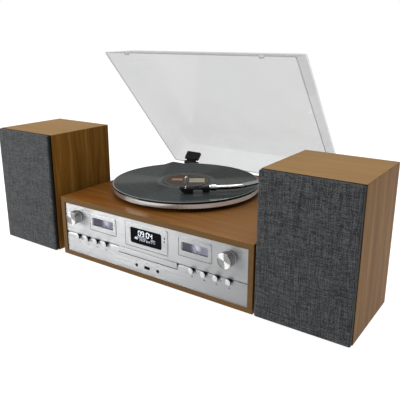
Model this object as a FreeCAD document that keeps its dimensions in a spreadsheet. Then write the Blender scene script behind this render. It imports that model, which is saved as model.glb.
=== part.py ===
import FreeCAD, Part
import math
import os
import types

import Sketcher

Vector = FreeCAD.Vector

# Every length is in millimetres and every angle in degrees.
# Places on the case count from its front face, its middle and its underside.
SIZES = {
    # Where the set stands
    "case_x": 7.5,
    "front_y": -195.5,
    "foot_h": 3,
    "foot_r": 9,
    "foot_inset": 26,
    # Clearances that many pieces share
    "slip": 0.05,
    "clearance": 0.3,
    "overrun": 5,
    # Wooden case
    "case_w": 440,
    "case_d": 366,
    "case_h": 121,
    "top_t": 11,
    "floor_t": 8,
    "side_t": 10,
    # Front panel, in an upper and a lower fascia with a groove between them
    "front_recess": 2,
    "fascia_t": 3,
    "groove_h": 5,
    "groove_ledge_t": 2,
    "bezel_proud": 1.6,
    "bezel_flange": 4,
    "bezel_corner": 2.5,
    "bezel_edge": 0.6,
    # Display
    "display_w": 98,
    "window_w": 73,
    "window_band": 8,
    "window_corner": 4,
    "window_t": 2.4,
    "window_sink": 0.7,
    "lamp_r": 1.3,
    "lamp_x": 42.5,
    "lamp_rise": 6.2,
    "lamp_pitch": 6.8,
    # Level meters
    "meter_w": 67,
    "meter_h": 33,
    "meter_window_w": 55,
    "meter_window_h": 16,
    "meter_window_rise": 2,
    "meter_lens_t": 1.5,
    "meter_lens_sink": 1,
    "dial_wall": 2,
    "dial_h": 28,
    "dial_depth": 14,
    "needle_drop": 9,
    "needle_len": 15.5,
    "needle_w": 0.8,
    "needle_t": 0.6,
    "needle_hub_r": 2,
    "needle_hub_t": 1.6,
    "needle_pin_r": 0.6,
    "needle_y": 3.5,
    "needle_angle": 35,
    # Knobs
    "knob_inset": 44.5,
    "knob_r": 13.5,
    "knob_len": 18.5,
    "knob_gap": 0.6,
    "knob_rim": 1.4,
    "knob_dish": 0.7,
    "knob_draft": 0.5,
    "knob_edge": 0.8,
    "shaft_r": 3,
    # Keys in the groove
    "key_w": 9.5,
    "key_h": 10.4,
    "key_t": 4,
    "key_corner": 4.2,
    "key_drop": 2.2,
    "key_edge": 1,
    "key_standoff": 2.2,
    "key_stem_w": 6,
    "key_switch_gap": 2,
    # Disc tray and its mechanism
    "tray_front_w": 139,
    "tray_front_h": 10.5,
    "tray_front_t": 3,
    "tray_drop": 5.9,
    "tray_proud": 1.4,
    "tray_w": 128,
    "tray_len": 142,
    "tray_t": 5,
    "tray_lift": 1.5,
    "disc_r": 60.5,
    "disc_sink": 1.6,
    "disc_y": 72,
    "pickup_w": 34,
    "pickup_len": 52,
    "mech_y": 10,
    "mech_len": 165,
    "rail_w": 9,
    "mech_floor_t": 3,
    "mech_drop": 7,
    "ledge_w": 5,
    "bridge_w": 26,
    "bridge_t": 4,
    "bridge_rise": 8,
    "mech_leg_r": 5,
    # Sockets in the lower fascia
    "jack_x": 25,
    "jack_drop": 23.3,
    "jack_nose_r": 3.4,
    "jack_r": 1.8,
    "jack_body_w": 11,
    "jack_body_len": 14,
    "jack_depth": 14,
    "usb_w": 13.2,
    "usb_h": 5.8,
    "usb_wall": 0.4,
    "usb_len": 17,
    "usb_tongue_t": 1.6,
    "usb_tongue_sink": 1.5,
    # Circuit boards
    "board_t": 1.6,
    "switch_board_y": 16,
    "switch_board_drop": 15.3,
    "switch_board_gap": 1.5,
    "switch_board_inset": 6,
    "control_r": 8,
    "control_len": 12,
    "control_wall": 1,
    "post_r": 3,
    "post_inset": 12,
    "main_board_w": 150,
    "board_front_gap": 48,
    "board_back_gap": 24.5,
    "supply_w": 110,
    "supply_short": 20,
    "standoff": 8,
    "sink_w": 60,
    "sink_d": 24,
    "sink_h": 36,
    "sink_base_h": 5,
    "fin_t": 3,
    "fin_pitch": 9.5,
    "transformer_w": 52,
    "transformer_d": 44,
    "transformer_h": 38,
    # Rear panel
    "rear_t": 2.5,
    "rear_recess": 4,
    "vent_w": 2.5,
    "vent_h": 30,
    "vent_pitch": 7,
    "vent_x": 100,
    "vent_drop": 49,
    "terminal_w": 64,
    "terminal_h": 26,
    "terminal_t": 10,
    "terminal_x": 60,
    "terminal_z": 38,
    "wire_hole_r": 1.6,
    "wire_pitch": 13,
    "phono_r": 4.2,
    "phono_len": 9,
    "phono_floor_t": 1.5,
    "phono_hole_r": 1.6,
    "phono_pitch": 18,
    "aerial_r": 4.8,
    "aerial_hole_r": 1.2,
    "aerial_x": 45,
    "inlet_x": 150,
    "inlet_w": 30,
    "inlet_h": 20,
    "inlet_depth": 16,
    "inlet_flange_t": 2.5,
    "inlet_mouth_w": 19,
    "inlet_mouth_h": 10.5,
    "inlet_mouth_depth": 12,
    "inlet_pin_r": 1.2,
    "inlet_pin_pitch": 8,
    "inlet_pin_len": 7,
    "rocker_x": 105,
    "rocker_w": 13,
    "rocker_h": 19,
    "rocker_depth": 9,
    "rocker_proud": 1.8,
    "rocker_wall": 1.5,
    "rocker_rim_t": 2.2,
    "rocker_taper": 1.4,
    "rocker_tilt": 8,
    "rocker_pin_r": 1.2,
    "rocker_crease": 1,
    # Platter, record and drive
    "platter_x": -41.3,
    "platter_back": 185.5,
    "platter_r": 150,
    "platter_gap": 7,
    "platter_rim_h": 11,
    "platter_rim_w": 4,
    "platter_edge": 1.2,
    "platter_web_t": 2.5,
    "mat_sink": 2,
    "mat_lip": 2.7,
    "mat_t": 3,
    "mat_hole_r": 5,
    "belt_ring_r": 90,
    "belt_ring_w": 4,
    "belt_ring_lift": 0.5,
    "hub_r": 16,
    "spindle_r": 3.6,
    "spindle_end_r": 3.2,
    "spindle_tip_r": 2,
    "spindle_tip_h": 3,
    "spindle_rise": 9,
    "journal_r": 5,
    "bearing_r": 9,
    "bearing_len": 46,
    "bearing_cap_t": 4,
    "bearing_flange_r": 17,
    "bearing_flange_t": 2.5,
    "record_r": 150.5,
    "record_t": 1.6,
    "label_r": 50,
    "label_rise": 0.3,
    "groove_sink": 0.3,
    "lead_in_w": 4,
    "dead_wax_r": 58,
    "motor_reach": 112,
    "motor_angle": 140,
    "motor_r": 17,
    "motor_h": 28,
    "motor_ear_w": 48,
    "motor_ear_d": 16,
    "motor_ear_t": 2,
    "motor_neck_r": 5,
    "motor_neck_h": 4,
    "motor_hole_r": 9,
    "motor_shaft_r": 1,
    "pulley_r": 6,
    "pulley_flange_r": 7.6,
    "pulley_flange_t": 0.8,
    "pulley_h": 6,
    "belt_t": 0.7,
    "belt_w": 4,
    "adapter_side": 34,
    "adapter_back": 32,
    "adapter_r": 18,
    "adapter_h": 4.5,
    "adapter_step_r": 9,
    "adapter_step_h": 2,
    "adapter_hole_r": 3.75,
    # Tonearm: pivot, bent tube, head and lift
    "arm_x": 126,
    "arm_back": 68.5,
    "arm_h": 30.5,
    "arm_angle": 106.5,
    "arm_bend_angle": 32.9,
    "arm_rear_len": 134,
    "arm_front_len": 53.8,
    "arm_bend_r": 70,
    "arm_tube_r": 4.5,
    "arm_pivot_r": 6,
    "arm_pivot_w": 25,
    "arm_stub_r": 3.5,
    "arm_stub_start": 14,
    "arm_stub_end": 48,
    "collar_r": 6.2,
    "collar_len": 13,
    "collar_ring_r": 5.4,
    "collar_ring_len": 3,
    "yoke_len": 13,
    "yoke_ear_t": 4,
    "yoke_base_t": 3,
    "yoke_drop": 9,
    "yoke_flange_r": 11,
    "yoke_flange_t": 2,
    "yoke_shaft_r": 4,
    "yoke_shaft_len": 13,
    "pivot_pin_r": 1.5,
    "pivot_pin_len": 2.4,
    "shell_len": 57,
    "shell_t": 3,
    "shell_neck_w": 9,
    "shell_neck_len": 9,
    "shell_w": 17,
    "shell_shoulder": 20,
    "shell_tip_w": 12,
    "shell_neck_drop": 8.5,
    "shell_neck_block": 12.5,
    "shell_window_x": 24,
    "shell_window_len": 10,
    "shell_window_w": 6,
    "finger_x": 50,
    "finger_w": 4,
    "finger_reach": 11,
    "finger_t": 1.2,
    "finger_curl": 4,
    "stylus_x": 48,
    "cartridge_x": 31,
    "cartridge_len": 23,
    "cartridge_w": 14,
    "cartridge_h": 7.2,
    "cartridge_nose": 6,
    "cartridge_foot": 3,
    "stylus_r": 1,
    "stylus_gap": 0.3,
    "weight_r": 12,
    "weight_start": 22,
    "weight_len": 22,
    "weight_ring_r": 10.5,
    "weight_ring_len": 4,
    "weight_edge": 1,
    # Arm base on the deck
    "base_w": 64,
    "base_d": 98,
    "base_t": 3,
    "base_corner": 14,
    "base_x": 7,
    "base_y": -18,
    "pillar_r": 13,
    "pillar_top_r": 11,
    "lift_reach": 38,
    "lift_angle": 95.5,
    "lift_sweep_angle": 22,
    "lift_w": 6,
    "lift_t": 3,
    "lift_gap": 1.5,
    "lift_stem_r": 2,
    "lift_post_r": 4.5,
    "lift_post_h": 17,
    "lift_stem_len": 12,
    "cue_x": 27,
    "cue_y": -34,
    "cue_h": 14,
    "cue_post_w": 6,
    "cue_post_d": 9,
    "cue_hub_r": 4,
    "cue_hub_w": 5,
    "cue_len": 30,
    "cue_w": 3.5,
    "cue_tip_r": 3.2,
    "cue_pin_r": 1.5,
    "rest_reach": 96,
    "rest_angle": 77.5,
    "rest_post_r": 4.5,
    "rest_foot_r": 9,
    "rest_foot_t": 2.5,
    "rest_w": 10,
    "rest_seat_len": 13,
    "rest_seat_t": 3,
    "rest_gap": 0.6,
    "rest_wall_t": 3,
    "rest_wall_h": 9,
    "speed_side": 34,
    "speed_back": 224,
    "speed_hub_r": 9,
    "speed_hub_h": 7,
    "speed_len": 19,
    "speed_w": 6,
    "speed_lever_h": 5,
    "speed_pin_r": 2,
    # Dust cover and its hinges
    "lid_inset": 7.5,
    "lid_short": 9,
    "lid_h": 53,
    "lid_slope": 43,
    "lid_back_slope": 6,
    "lid_side_slope": 12,
    "lid_t": 2.5,
    "lid_corner": 5,
    "lid_nub_w": 9,
    "lid_nub_inset": 70,
    "lid_open_angle": 49.3,
    "hinge_inset": 57.5,
    "hinge_rise": 5,
    "hinge_back": 1,
    "hinge_w": 38,
    "hinge_pin_r": 1.8,
    "barrel_r": 4,
    "barrel_w": 26,
    "ear_r": 4.6,
    "ear_gap": 0.5,
    "bracket_t": 4,
    "bracket_drop": 36,
    "leaf_low": 5.6,
    "leaf_high": 25,
    "leaf_t": 7,
    "notch_w": 42,
    "notch_h": 9,
    # Loudspeakers
    "speaker_w": 157.6,
    "speaker_d": 158,
    "speaker_h": 241.4,
    "speaker_wall": 12,
    "speaker_edge": 1.2,
    "left_speaker_gap": 19,
    "left_speaker_y": 2.6,
    "right_speaker_gap": 3.7,
    "right_speaker_y": 6.2,
    "grille_t": 7,
    "grille_gap": 2,
    "grille_inset": 0.8,
    "grille_edge": 2.5,
    "grille_frame_w": 14,
    "grille_skin": 1.5,
    "grille_bar_z": 150,
    "peg_r": 3,
    "peg_len": 8,
    "peg_inset": 9,
    "woofer_z": 88,
    "woofer_r": 56,
    "woofer_hole_r": 49,
    "woofer_depth": 58,
    "woofer_magnet_r": 36,
    "woofer_magnet_h": 18,
    "woofer_dome_r": 16,
    "woofer_cone_depth": 20,
    "woofer_cap_rise": 5,
    "surround_r": 2.6,
    "driver_flange_t": 4,
    "cone_t": 1.5,
    "tweeter_z": 188,
    "tweeter_r": 29,
    "tweeter_hole_r": 20,
    "tweeter_dome_r": 11,
    "tweeter_dome_rise": 3,
    "tweeter_depth": 26,
    "cup_w": 54,
    "cup_hole_w": 42,
    "cup_t": 3,
    "cup_z": 80,
    "cup_depth": 9,
    "cup_wall": 2,
    "clip_w": 12,
    "clip_h": 20,
    "clip_pitch": 19,
    "clip_sink": 5,
    "pad_r": 7,
    "pad_inset": 18,
}

# Shares of the sizes that they follow
groove_share = 0.3744
display_rise_share = 0.517
display_h_share = 0.774
meter_rise_share = 0.559
knob_rise_share = 0.626
meter_side_share = 0.2432
key_first_share = 0.2307
key_pitch_share = 0.0561
cone_rim_share = 0.92
tweeter_throat_share = 0.5
collar_grip_share = 0.6
tongue_w_share = 0.62


class Size:
    """A size of the sheet, or a sum of sizes, with the formula that gives it."""

    def __init__(self, value, formula):
        self.value = float(value)
        self.formula = formula

    def __add__(self, other):
        other = as_size(other)
        return Size(self.value + other.value, f"({self.formula} + {other.formula})")

    __radd__ = __add__

    def __sub__(self, other):
        other = as_size(other)
        return Size(self.value - other.value, f"({self.formula} - {other.formula})")

    def __rsub__(self, other):
        return as_size(other) - self

    def __mul__(self, other):
        other = as_size(other)
        return Size(self.value * other.value, f"({self.formula} * {other.formula})")

    __rmul__ = __mul__

    def __truediv__(self, other):
        other = as_size(other)
        return Size(self.value / other.value, f"({self.formula} / {other.formula})")

    def __neg__(self):
        return as_size(0) - self


def as_size(thing):
    return thing if isinstance(thing, Size) else Size(thing, str(thing))


def cosine(angle):
    return Size(math.cos(math.radians(angle.value)), f"cos({angle.formula})")


def sine(angle):
    return Size(math.sin(math.radians(angle.value)), f"sin({angle.formula})")


def tangent(angle):
    return Size(math.tan(math.radians(angle.value)), f"tan({angle.formula})")


doc = FreeCAD.newDocument("record_player")
sheet = doc.addObject("Spreadsheet::Sheet", "dims")
for row, (name, amount) in enumerate(SIZES.items(), 1):
    sheet.set(f"A{row}", name)
    sheet.set(f"B{row}", str(amount))
    sheet.setAlias(f"B{row}", name)
doc.recompute()
d = types.SimpleNamespace(**{name: Size(amount, f"dims.{name}") for name, amount in SIZES.items()})

ORIGIN = (0, 0, 0)
ALONG = {"x": (Vector(0, 1, 0), 90), "y": (Vector(-1, 0, 0), 90), "z": (Vector(0, 0, 1), 0)}
NODES = []


def bind(thing, **sizes):
    """Set properties of an object from the sheet."""
    for name, amount in sizes.items():
        setattr(thing, name, as_size(amount).value)
        thing.setExpression(name, as_size(amount).formula)


def place(thing, at=ORIGIN, axis=Vector(0, 0, 1), angle=0):
    """Put an object at a point, turned about an axis."""
    base = Vector(*[as_size(part).value for part in at])
    thing.Placement = FreeCAD.Placement(base, FreeCAD.Rotation(axis, as_size(angle).value))
    for letter, part in zip("xyz", at):
        thing.setExpression(f"Placement.Base.{letter}", as_size(part).formula)
    if isinstance(angle, Size):
        thing.setExpression("Placement.Rotation.Angle", angle.formula)
    return thing


def box(width, depth, height, at=ORIGIN):
    """A block whose width is centred on the point, with its front and underside there."""
    block = doc.addObject("Part::Box", "block")
    bind(block, Length=width, Width=depth, Height=height)
    return place(block, (at[0] - as_size(width) / 2, at[1], at[2]))


def rod(radius, length, at=ORIGIN, along="z"):
    bar = doc.addObject("Part::Cylinder", "rod")
    bind(bar, Radius=radius, Height=length)
    return place(bar, at, *ALONG[along])


def join(*things):
    joined = doc.addObject("Part::MultiFuse", "joined")
    joined.Shapes = list(things)
    return joined


def carve(base, *tools):
    cut = doc.addObject("Part::Cut", "carved")
    cut.Base = base
    cut.Tool = tools[0] if len(tools) == 1 else join(*tools)
    return cut


def together(*things):
    """Separate solids that share a node."""
    group = doc.addObject("Part::Compound", "together")
    group.Links = list(things)
    return group


def new_sketch(body, role, height=0):
    plane = next(part for part in body.Origin.OriginFeatures if part.Role == role)
    sketch = body.newObject("Sketcher::SketchObject", "outline")
    sketch.AttachmentSupport = [(plane, "")]
    sketch.MapMode = "FlatFace"
    sketch.AttachmentOffset = FreeCAD.Placement(Vector(0, 0, as_size(height).value), FreeCAD.Rotation())
    sketch.setExpression("AttachmentOffset.Base.z", as_size(height).formula)
    return sketch


def pin_point(sketch, edge, end, point):
    """Hold one end of an edge at its place, by sizes of the sheet."""
    for kind, axis, part in (("DistanceX", -2, point[0]), ("DistanceY", -1, point[1])):
        part = as_size(part)
        if part.formula == "0":
            sketch.addConstraint(Sketcher.Constraint("PointOnObject", edge, end, axis))
            continue
        number = sketch.addConstraint(Sketcher.Constraint(kind, -1, 1, edge, end, part.value))
        sketch.setExpression(f"Constraints[{number}]", part.formula)


def arc_between(start, end, radius, turn):
    """The arc from start to end that turns left (1) or right (-1), under half a circle."""
    chord = end - start
    height = math.sqrt(max(radius * radius - chord.Length * chord.Length / 4, 0))
    side = Vector(-chord.y, chord.x, 0).normalize() * turn
    centre = (start + end) * 0.5 + side * height
    first, last = (start, end) if turn > 0 else (end, start)
    angles = [math.atan2(point.y - centre.y, point.x - centre.x) for point in (first, last)]
    return Part.ArcOfCircle(Part.Circle(centre, Vector(0, 0, 1), radius), *angles)


def draw(sketch, corners, closed=True):
    """Draw lines from corner to corner; a corner (x, y, radius, turn) is reached by an arc."""
    points = [Vector(as_size(c[0]).value, as_size(c[1]).value, 0) for c in corners]
    steps = list(range(1, len(corners))) + ([0] if closed else [])
    ends = []
    for step in steps:
        start, end, corner = points[step - 1], points[step], corners[step]
        if len(corner) == 2:
            edge = sketch.addGeometry(Part.LineSegment(start, end))
            ends.append((edge, 1, 2))
            continue
        radius, turn = as_size(corner[2]), corner[3]
        edge = sketch.addGeometry(arc_between(start, end, radius.value, turn))
        ends.append((edge, 1, 2) if turn > 0 else (edge, 2, 1))
        number = sketch.addConstraint(Sketcher.Constraint("Radius", edge, radius.value))
        sketch.setExpression(f"Constraints[{number}]", radius.formula)
    for (edge, start, end), step in zip(ends, steps):
        pin_point(sketch, edge, end, corners[step])
        if not closed and step == 1:
            pin_point(sketch, edge, start, corners[0])
    pairs = list(zip(ends, ends[1:] + (ends[:1] if closed else [])))
    for (edge, start, end), (after, after_start, after_end) in pairs:
        sketch.addConstraint(Sketcher.Constraint("Coincident", edge, end, after, after_start))


def rounded(left, low, right, high, radius):
    """The corners of a rectangle with round corners."""
    return [
        (left + radius, low, radius, 1),
        (right - radius, low),
        (right, low + radius, radius, 1),
        (right, high - radius),
        (right - radius, high, radius, 1),
        (left + radius, high),
        (left, high - radius, radius, 1),
        (left, low + radius),
    ]


def slab(corners, thickness, role="XY_Plane", at=ORIGIN):
    """A flat piece of any outline; on the XZ plane it runs back from its front face."""
    body = doc.addObject("PartDesign::Body", "slab")
    sketch = new_sketch(body, role)
    draw(sketch, corners)
    pad = body.newObject("PartDesign::Pad", "thickness")
    pad.Profile = sketch
    pad.Reversed = role == "XZ_Plane"
    bind(pad, Length=thickness)
    return place(body, at)


def rounded_slab(width, height, radius, thickness, role="XZ_Plane", at=ORIGIN):
    """A plate with round corners, centred on its point."""
    return slab(rounded(-width / 2, -height / 2, width / 2, height / 2, radius), thickness, role, at)


def turned(corners, along="z", at=ORIGIN):
    """A piece turned on a lathe: corners are radius and height."""
    body = doc.addObject("PartDesign::Body", "turned")
    sketch = new_sketch(body, "XZ_Plane")
    draw(sketch, corners)
    spin = body.newObject("PartDesign::Revolution", "turning")
    spin.Profile = sketch
    spin.ReferenceAxis = (sketch, ["V_Axis"])
    spin.Angle = 360
    return place(body, at, *ALONG[along])


def soften(body, radius, wanted):
    """Round the edges of a body that a test picks out."""
    doc.recompute()
    base = body.Tip
    names = [f"Edge{i}" for i, edge in enumerate(base.Shape.Edges, 1) if wanted(edge)]
    fillet = body.newObject("PartDesign::Fillet", "soft_edges")
    fillet.Base = (base, names)
    bind(fillet, Radius=radius)
    return body


def in_front(body):
    """A test for the edges round a body's front face."""
    doc.recompute()
    front = body.Tip.Shape.BoundBox.YMin
    return lambda edge: abs(edge.BoundBox.YMax - front) < d.slip.value


def node(label, thing, at=ORIGIN, axis=Vector(0, 0, 1), angle=0):
    """Name a finished piece and put it in its place."""
    thing.Label = label
    NODES.append(place(thing, at, axis, angle))


def on_case(x, y, z):
    """A point of the case, in the frame of the whole set."""
    return (d.case_x + x, d.front_y + y, d.foot_h + z)


def in_pairs(make):
    """Two copies of a piece, to the left and right."""
    return [make(-1), make(1)]


fascia_y = d.front_recess
fascia_back = fascia_y + d.fascia_t
inner_w = d.case_w - 2 * d.side_t
inner_top = d.case_h - d.top_t
rear_y = d.case_d - d.rear_recess - d.rear_t
deck_to_mat = d.platter_gap + d.platter_rim_h - d.mat_sink
deck_to_record = deck_to_mat + d.mat_t
platter_bottom = d.case_h + d.platter_gap

# Places on the front panel that follow the size of the case
groove_low = d.case_h * groove_share
groove_high = groove_low + d.groove_h
upper_h = inner_top - d.clearance - groove_high
display_z = groove_high + upper_h * display_rise_share
display_h = upper_h * display_h_share
window_h = display_h - 2 * d.window_band
meter_x = d.case_w * meter_side_share
meter_z = groove_high + upper_h * meter_rise_share
knob_x = d.case_w / 2 - d.knob_inset
knob_z = groove_high + upper_h * knob_rise_share
tray_low = groove_low - d.tray_drop
jack_z = groove_low - d.jack_drop
switch_board_z = groove_low - d.switch_board_drop
switch_board_h = meter_z + d.meter_window_rise - d.dial_h / 2 - d.switch_board_gap - switch_board_z

# Places on the deck that follow the size of the case
platter_y = d.case_d - d.platter_back
motor_x = d.platter_x + d.motor_reach * cosine(d.motor_angle)
motor_y = platter_y + d.motor_reach * sine(d.motor_angle)
arm_y = d.case_d - d.arm_back
speed_x = d.case_w / 2 - d.speed_side
speed_y = d.case_d - d.speed_back
lid_w = d.case_w - 2 * d.lid_inset
lid_len = d.case_d - d.lid_short
hinge_x = d.case_w / 2 - d.hinge_inset


def board_outline(side):
    """The mitred ends of the boards: each runs from outer corners to inner corners."""
    out, inside = d.case_w / 2, d.case_w / 2 - d.side_t
    low, high = d.floor_t, d.case_h - d.top_t
    return {
        "top": [(-inside, high), (inside, high), (out, d.case_h), (-out, d.case_h)],
        "floor": [(-out, 0), (out, 0), (inside, low), (-inside, low)],
        "left": [(-out, 0), (-inside, low), (-inside, high), (-out, d.case_h)],
        "right": [(out, 0), (out, d.case_h), (inside, high), (inside, low)],
    }[side]


def build_case():
    """Four veneered boards, mitred at the corners, with the deck's holes."""
    deck = carve(
        slab(board_outline("top"), d.case_d, "XZ_Plane"),
        rod(d.bearing_r + d.clearance, d.top_t + 2 * d.overrun,
            (d.platter_x, platter_y, inner_top - d.overrun)),
        rod(d.motor_hole_r, d.top_t + 2 * d.overrun, (motor_x, motor_y, inner_top - d.overrun)),
        rod(d.speed_pin_r + d.slip, d.top_t + 2 * d.overrun, (speed_x, speed_y, inner_top - d.overrun)),
    )
    others = [slab(board_outline(side), d.case_d, "XZ_Plane") for side in ("floor", "left", "right")]
    node("case_boards", together(deck, *others), on_case(0, 0, 0))


def build_feet():
    """Four rubber feet under the case."""
    x = d.case_w / 2 - d.foot_inset
    places = [(side * x, y) for side in (-1, 1) for y in (d.foot_inset, d.case_d - d.foot_inset)]
    feet = [rod(d.foot_r, d.foot_h, (x, y, -d.foot_h)) for x, y in places]
    node("case_feet", together(*feet), on_case(0, 0, 0))


def build_fascias():
    """Brushed front panel: cut-outs above, a groove for the keys, sockets below."""
    width = inner_w - 2 * d.clearance
    high = inner_top - d.clearance
    upper = box(width, d.fascia_t, high - groove_high, (0, 0, groove_high))
    deep = d.fascia_t + 2 * d.overrun
    cuts = [panel_hole(0, display_z, d.display_w, display_h, deep)]
    cuts += in_pairs(lambda s: panel_hole(s * meter_x, meter_z, d.meter_w, d.meter_h, deep))
    cuts += in_pairs(lambda s: rod(d.shaft_r + d.slip, deep, (s * knob_x, -d.overrun, knob_z), "y"))
    node("upper_fascia", carve(upper, *cuts), on_case(0, fascia_y, 0))
    low = d.floor_t + d.clearance
    face = box(width, d.fascia_t, groove_low - low, (0, 0, low))
    ledge_y = d.switch_board_y - fascia_y - d.clearance
    ledge = box(width, ledge_y, d.groove_ledge_t, (0, 0, groove_low - d.groove_ledge_t))
    notch_w = d.tray_front_w + 2 * d.clearance
    rails_w = d.tray_w + 4 * d.rail_w
    cuts = [box(notch_w, deep, groove_low, (0, -d.overrun, tray_low - d.clearance)),
            box(rails_w, ledge_y, groove_low, (0, d.fascia_t, tray_low))]
    cuts += in_pairs(lambda s: rod(d.jack_nose_r + d.slip, deep, (s * d.jack_x, -d.overrun, jack_z), "y"))
    cuts.append(box(d.usb_w, deep, d.usb_h, (0, -d.overrun, jack_z - d.usb_h / 2)))
    node("lower_fascia", carve(join(face, ledge), *cuts), on_case(0, fascia_y, 0))


def panel_hole(x, z, width, height, deep):
    """The hole that a bezel's plug fills."""
    plug_w = width - 2 * d.bezel_flange
    plug_h = height - 2 * d.bezel_flange
    return box(plug_w, deep, plug_h, (x, -d.overrun, z - plug_h / 2))


def bezel(x, z, width, height, window_w, window_h, window_z, corner):
    """A frame whose flange lies on the fascia and whose plug fills the hole behind."""
    flange = rounded_slab(width, height, d.bezel_corner, d.bezel_proud, at=(x, -d.bezel_proud, z))
    soften(flange, d.bezel_edge, in_front(flange))
    plug = panel_hole(x, z, width, height, d.fascia_t)
    place(plug, (x - width / 2 + d.bezel_flange, 0, z - height / 2 + d.bezel_flange))
    deep = d.bezel_proud + d.fascia_t + 2 * d.overrun
    opening = rounded_slab(window_w, window_h, corner, deep, at=(x, -d.bezel_proud - d.overrun, window_z))
    return carve(join(flange, plug), opening)


def build_display():
    """Dark display window in a bright frame, with a receiver and a lamp beside it."""
    lamps = [(d.lamp_x, display_z + d.lamp_rise - i * d.lamp_pitch + d.lamp_pitch / 2) for i in (0, 1)]
    frame = bezel(0, display_z, d.display_w, display_h,
                  d.window_w, window_h, display_z, d.window_corner)
    holes = [rod(d.lamp_r, d.bezel_proud + d.fascia_t + 2 * d.overrun,
                 (x, -d.bezel_proud - d.overrun, z), "y") for x, z in lamps]
    node("display_bezel", carve(frame, *holes), on_case(0, fascia_y, 0))
    window = rounded_slab(d.window_w, window_h, d.window_corner, d.window_t)
    place(window, (0, d.window_sink - d.bezel_proud, display_z))
    dots = [rod(d.lamp_r, d.bezel_proud + d.window_t, (x, -d.bezel_proud, z), "y") for x, z in lamps]
    node("display_window", together(window, *dots), on_case(0, fascia_y, 0))


def build_meters():
    """Two level meters: frame, lens, lit dial housing and a swinging needle each."""
    window_z = meter_z + d.meter_window_rise

    def frame(side):
        return bezel(side * meter_x, meter_z, d.meter_w, d.meter_h,
                     d.meter_window_w, d.meter_window_h, window_z, d.bezel_corner)

    def lens(side):
        plate = rounded_slab(d.meter_window_w, d.meter_window_h, d.bezel_corner, d.meter_lens_t)
        return place(plate, (side * meter_x, d.meter_lens_sink - d.bezel_proud, window_z))

    def housing(side):
        wide = d.meter_w - 2 * d.bezel_flange + 2 * d.dial_wall
        shell = carve(
            box(wide, d.dial_depth, d.dial_h, (0, 0, -d.dial_h / 2)),
            box(wide - 2 * d.dial_wall, d.dial_depth - d.dial_wall + d.overrun, d.dial_h - 2 * d.dial_wall,
                (0, -d.overrun, d.dial_wall - d.dial_h / 2)),
        )
        pin = rod(d.needle_pin_r, d.dial_depth - d.dial_wall - d.needle_y + d.needle_hub_t,
                  (0, d.needle_y - d.needle_hub_t, -d.needle_drop), "y")
        return place(join(shell, pin), (side * meter_x, d.fascia_t, window_z))

    node("meter_bezels", together(*in_pairs(frame)), on_case(0, fascia_y, 0))
    node("meter_lenses", together(*in_pairs(lens)), on_case(0, fascia_y, 0))
    node("meter_dials", together(*in_pairs(housing)), on_case(0, fascia_y, 0))
    for label, side in (("left_needle", -1), ("right_needle", 1)):
        hub = carve(rod(d.needle_hub_r, d.needle_hub_t, ORIGIN, "y"),
                    rod(d.needle_pin_r + d.slip, d.needle_hub_t + 2 * d.overrun, (0, -d.overrun, 0), "y"))
        blade = box(d.needle_w, d.needle_t, d.needle_len - d.needle_pin_r - d.clearance,
                    (0, 0, d.needle_pin_r + d.clearance))
        at = on_case(side * meter_x, fascia_back + d.needle_y, window_z - d.needle_drop)
        node(label, join(hub, blade), at, Vector(0, -1, 0), d.needle_angle)


def build_knobs():
    """Two large turned knobs with a dished face, each on its shaft."""
    reach = d.knob_len - d.knob_gap
    tail = d.fascia_t + d.knob_gap + d.control_len - d.control_wall - d.clearance
    profile = [
        (0, d.knob_dish),
        (d.knob_r - d.knob_draft - d.knob_rim, d.knob_dish),
        (d.knob_r - d.knob_draft - d.knob_rim, 0),
        (d.knob_r - d.knob_draft - d.knob_edge, 0),
        (d.knob_r - d.knob_draft, d.knob_edge),
        (d.knob_r, reach),
        (d.shaft_r, reach),
        (d.shaft_r, reach + tail),
        (0, reach + tail),
    ]
    for label, side in (("left_knob", -1), ("right_knob", 1)):
        knob = together(turned(profile, "y"))
        node(label, knob, on_case(side * knob_x, fascia_y - d.knob_len, knob_z))


def build_keys():
    """Eight small paddles whose stems pass through the groove."""
    groove_z = (groove_low + groove_high) / 2
    stem_h = groove_high - groove_low - 2 * d.clearance
    stem_len = d.key_standoff + d.switch_board_y - fascia_y - d.key_switch_gap
    for number in range(8):
        side = -1 if number < 4 else 1
        step = 3 - number if number < 4 else number - 4
        paddle = rounded_slab(d.key_w, d.key_h, d.key_corner, d.key_t)
        soften(paddle, d.key_edge, in_front(paddle))
        place(paddle, (0, 0, -d.key_drop))
        stem = box(d.key_stem_w, stem_len, stem_h, (0, d.key_t, -stem_h / 2))
        x = side * d.case_w * (key_first_share + step * key_pitch_share)
        y = fascia_y - d.key_standoff - d.key_t
        node(f"key_{number + 1}", join(paddle, stem), on_case(x, y, groove_z))


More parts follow.
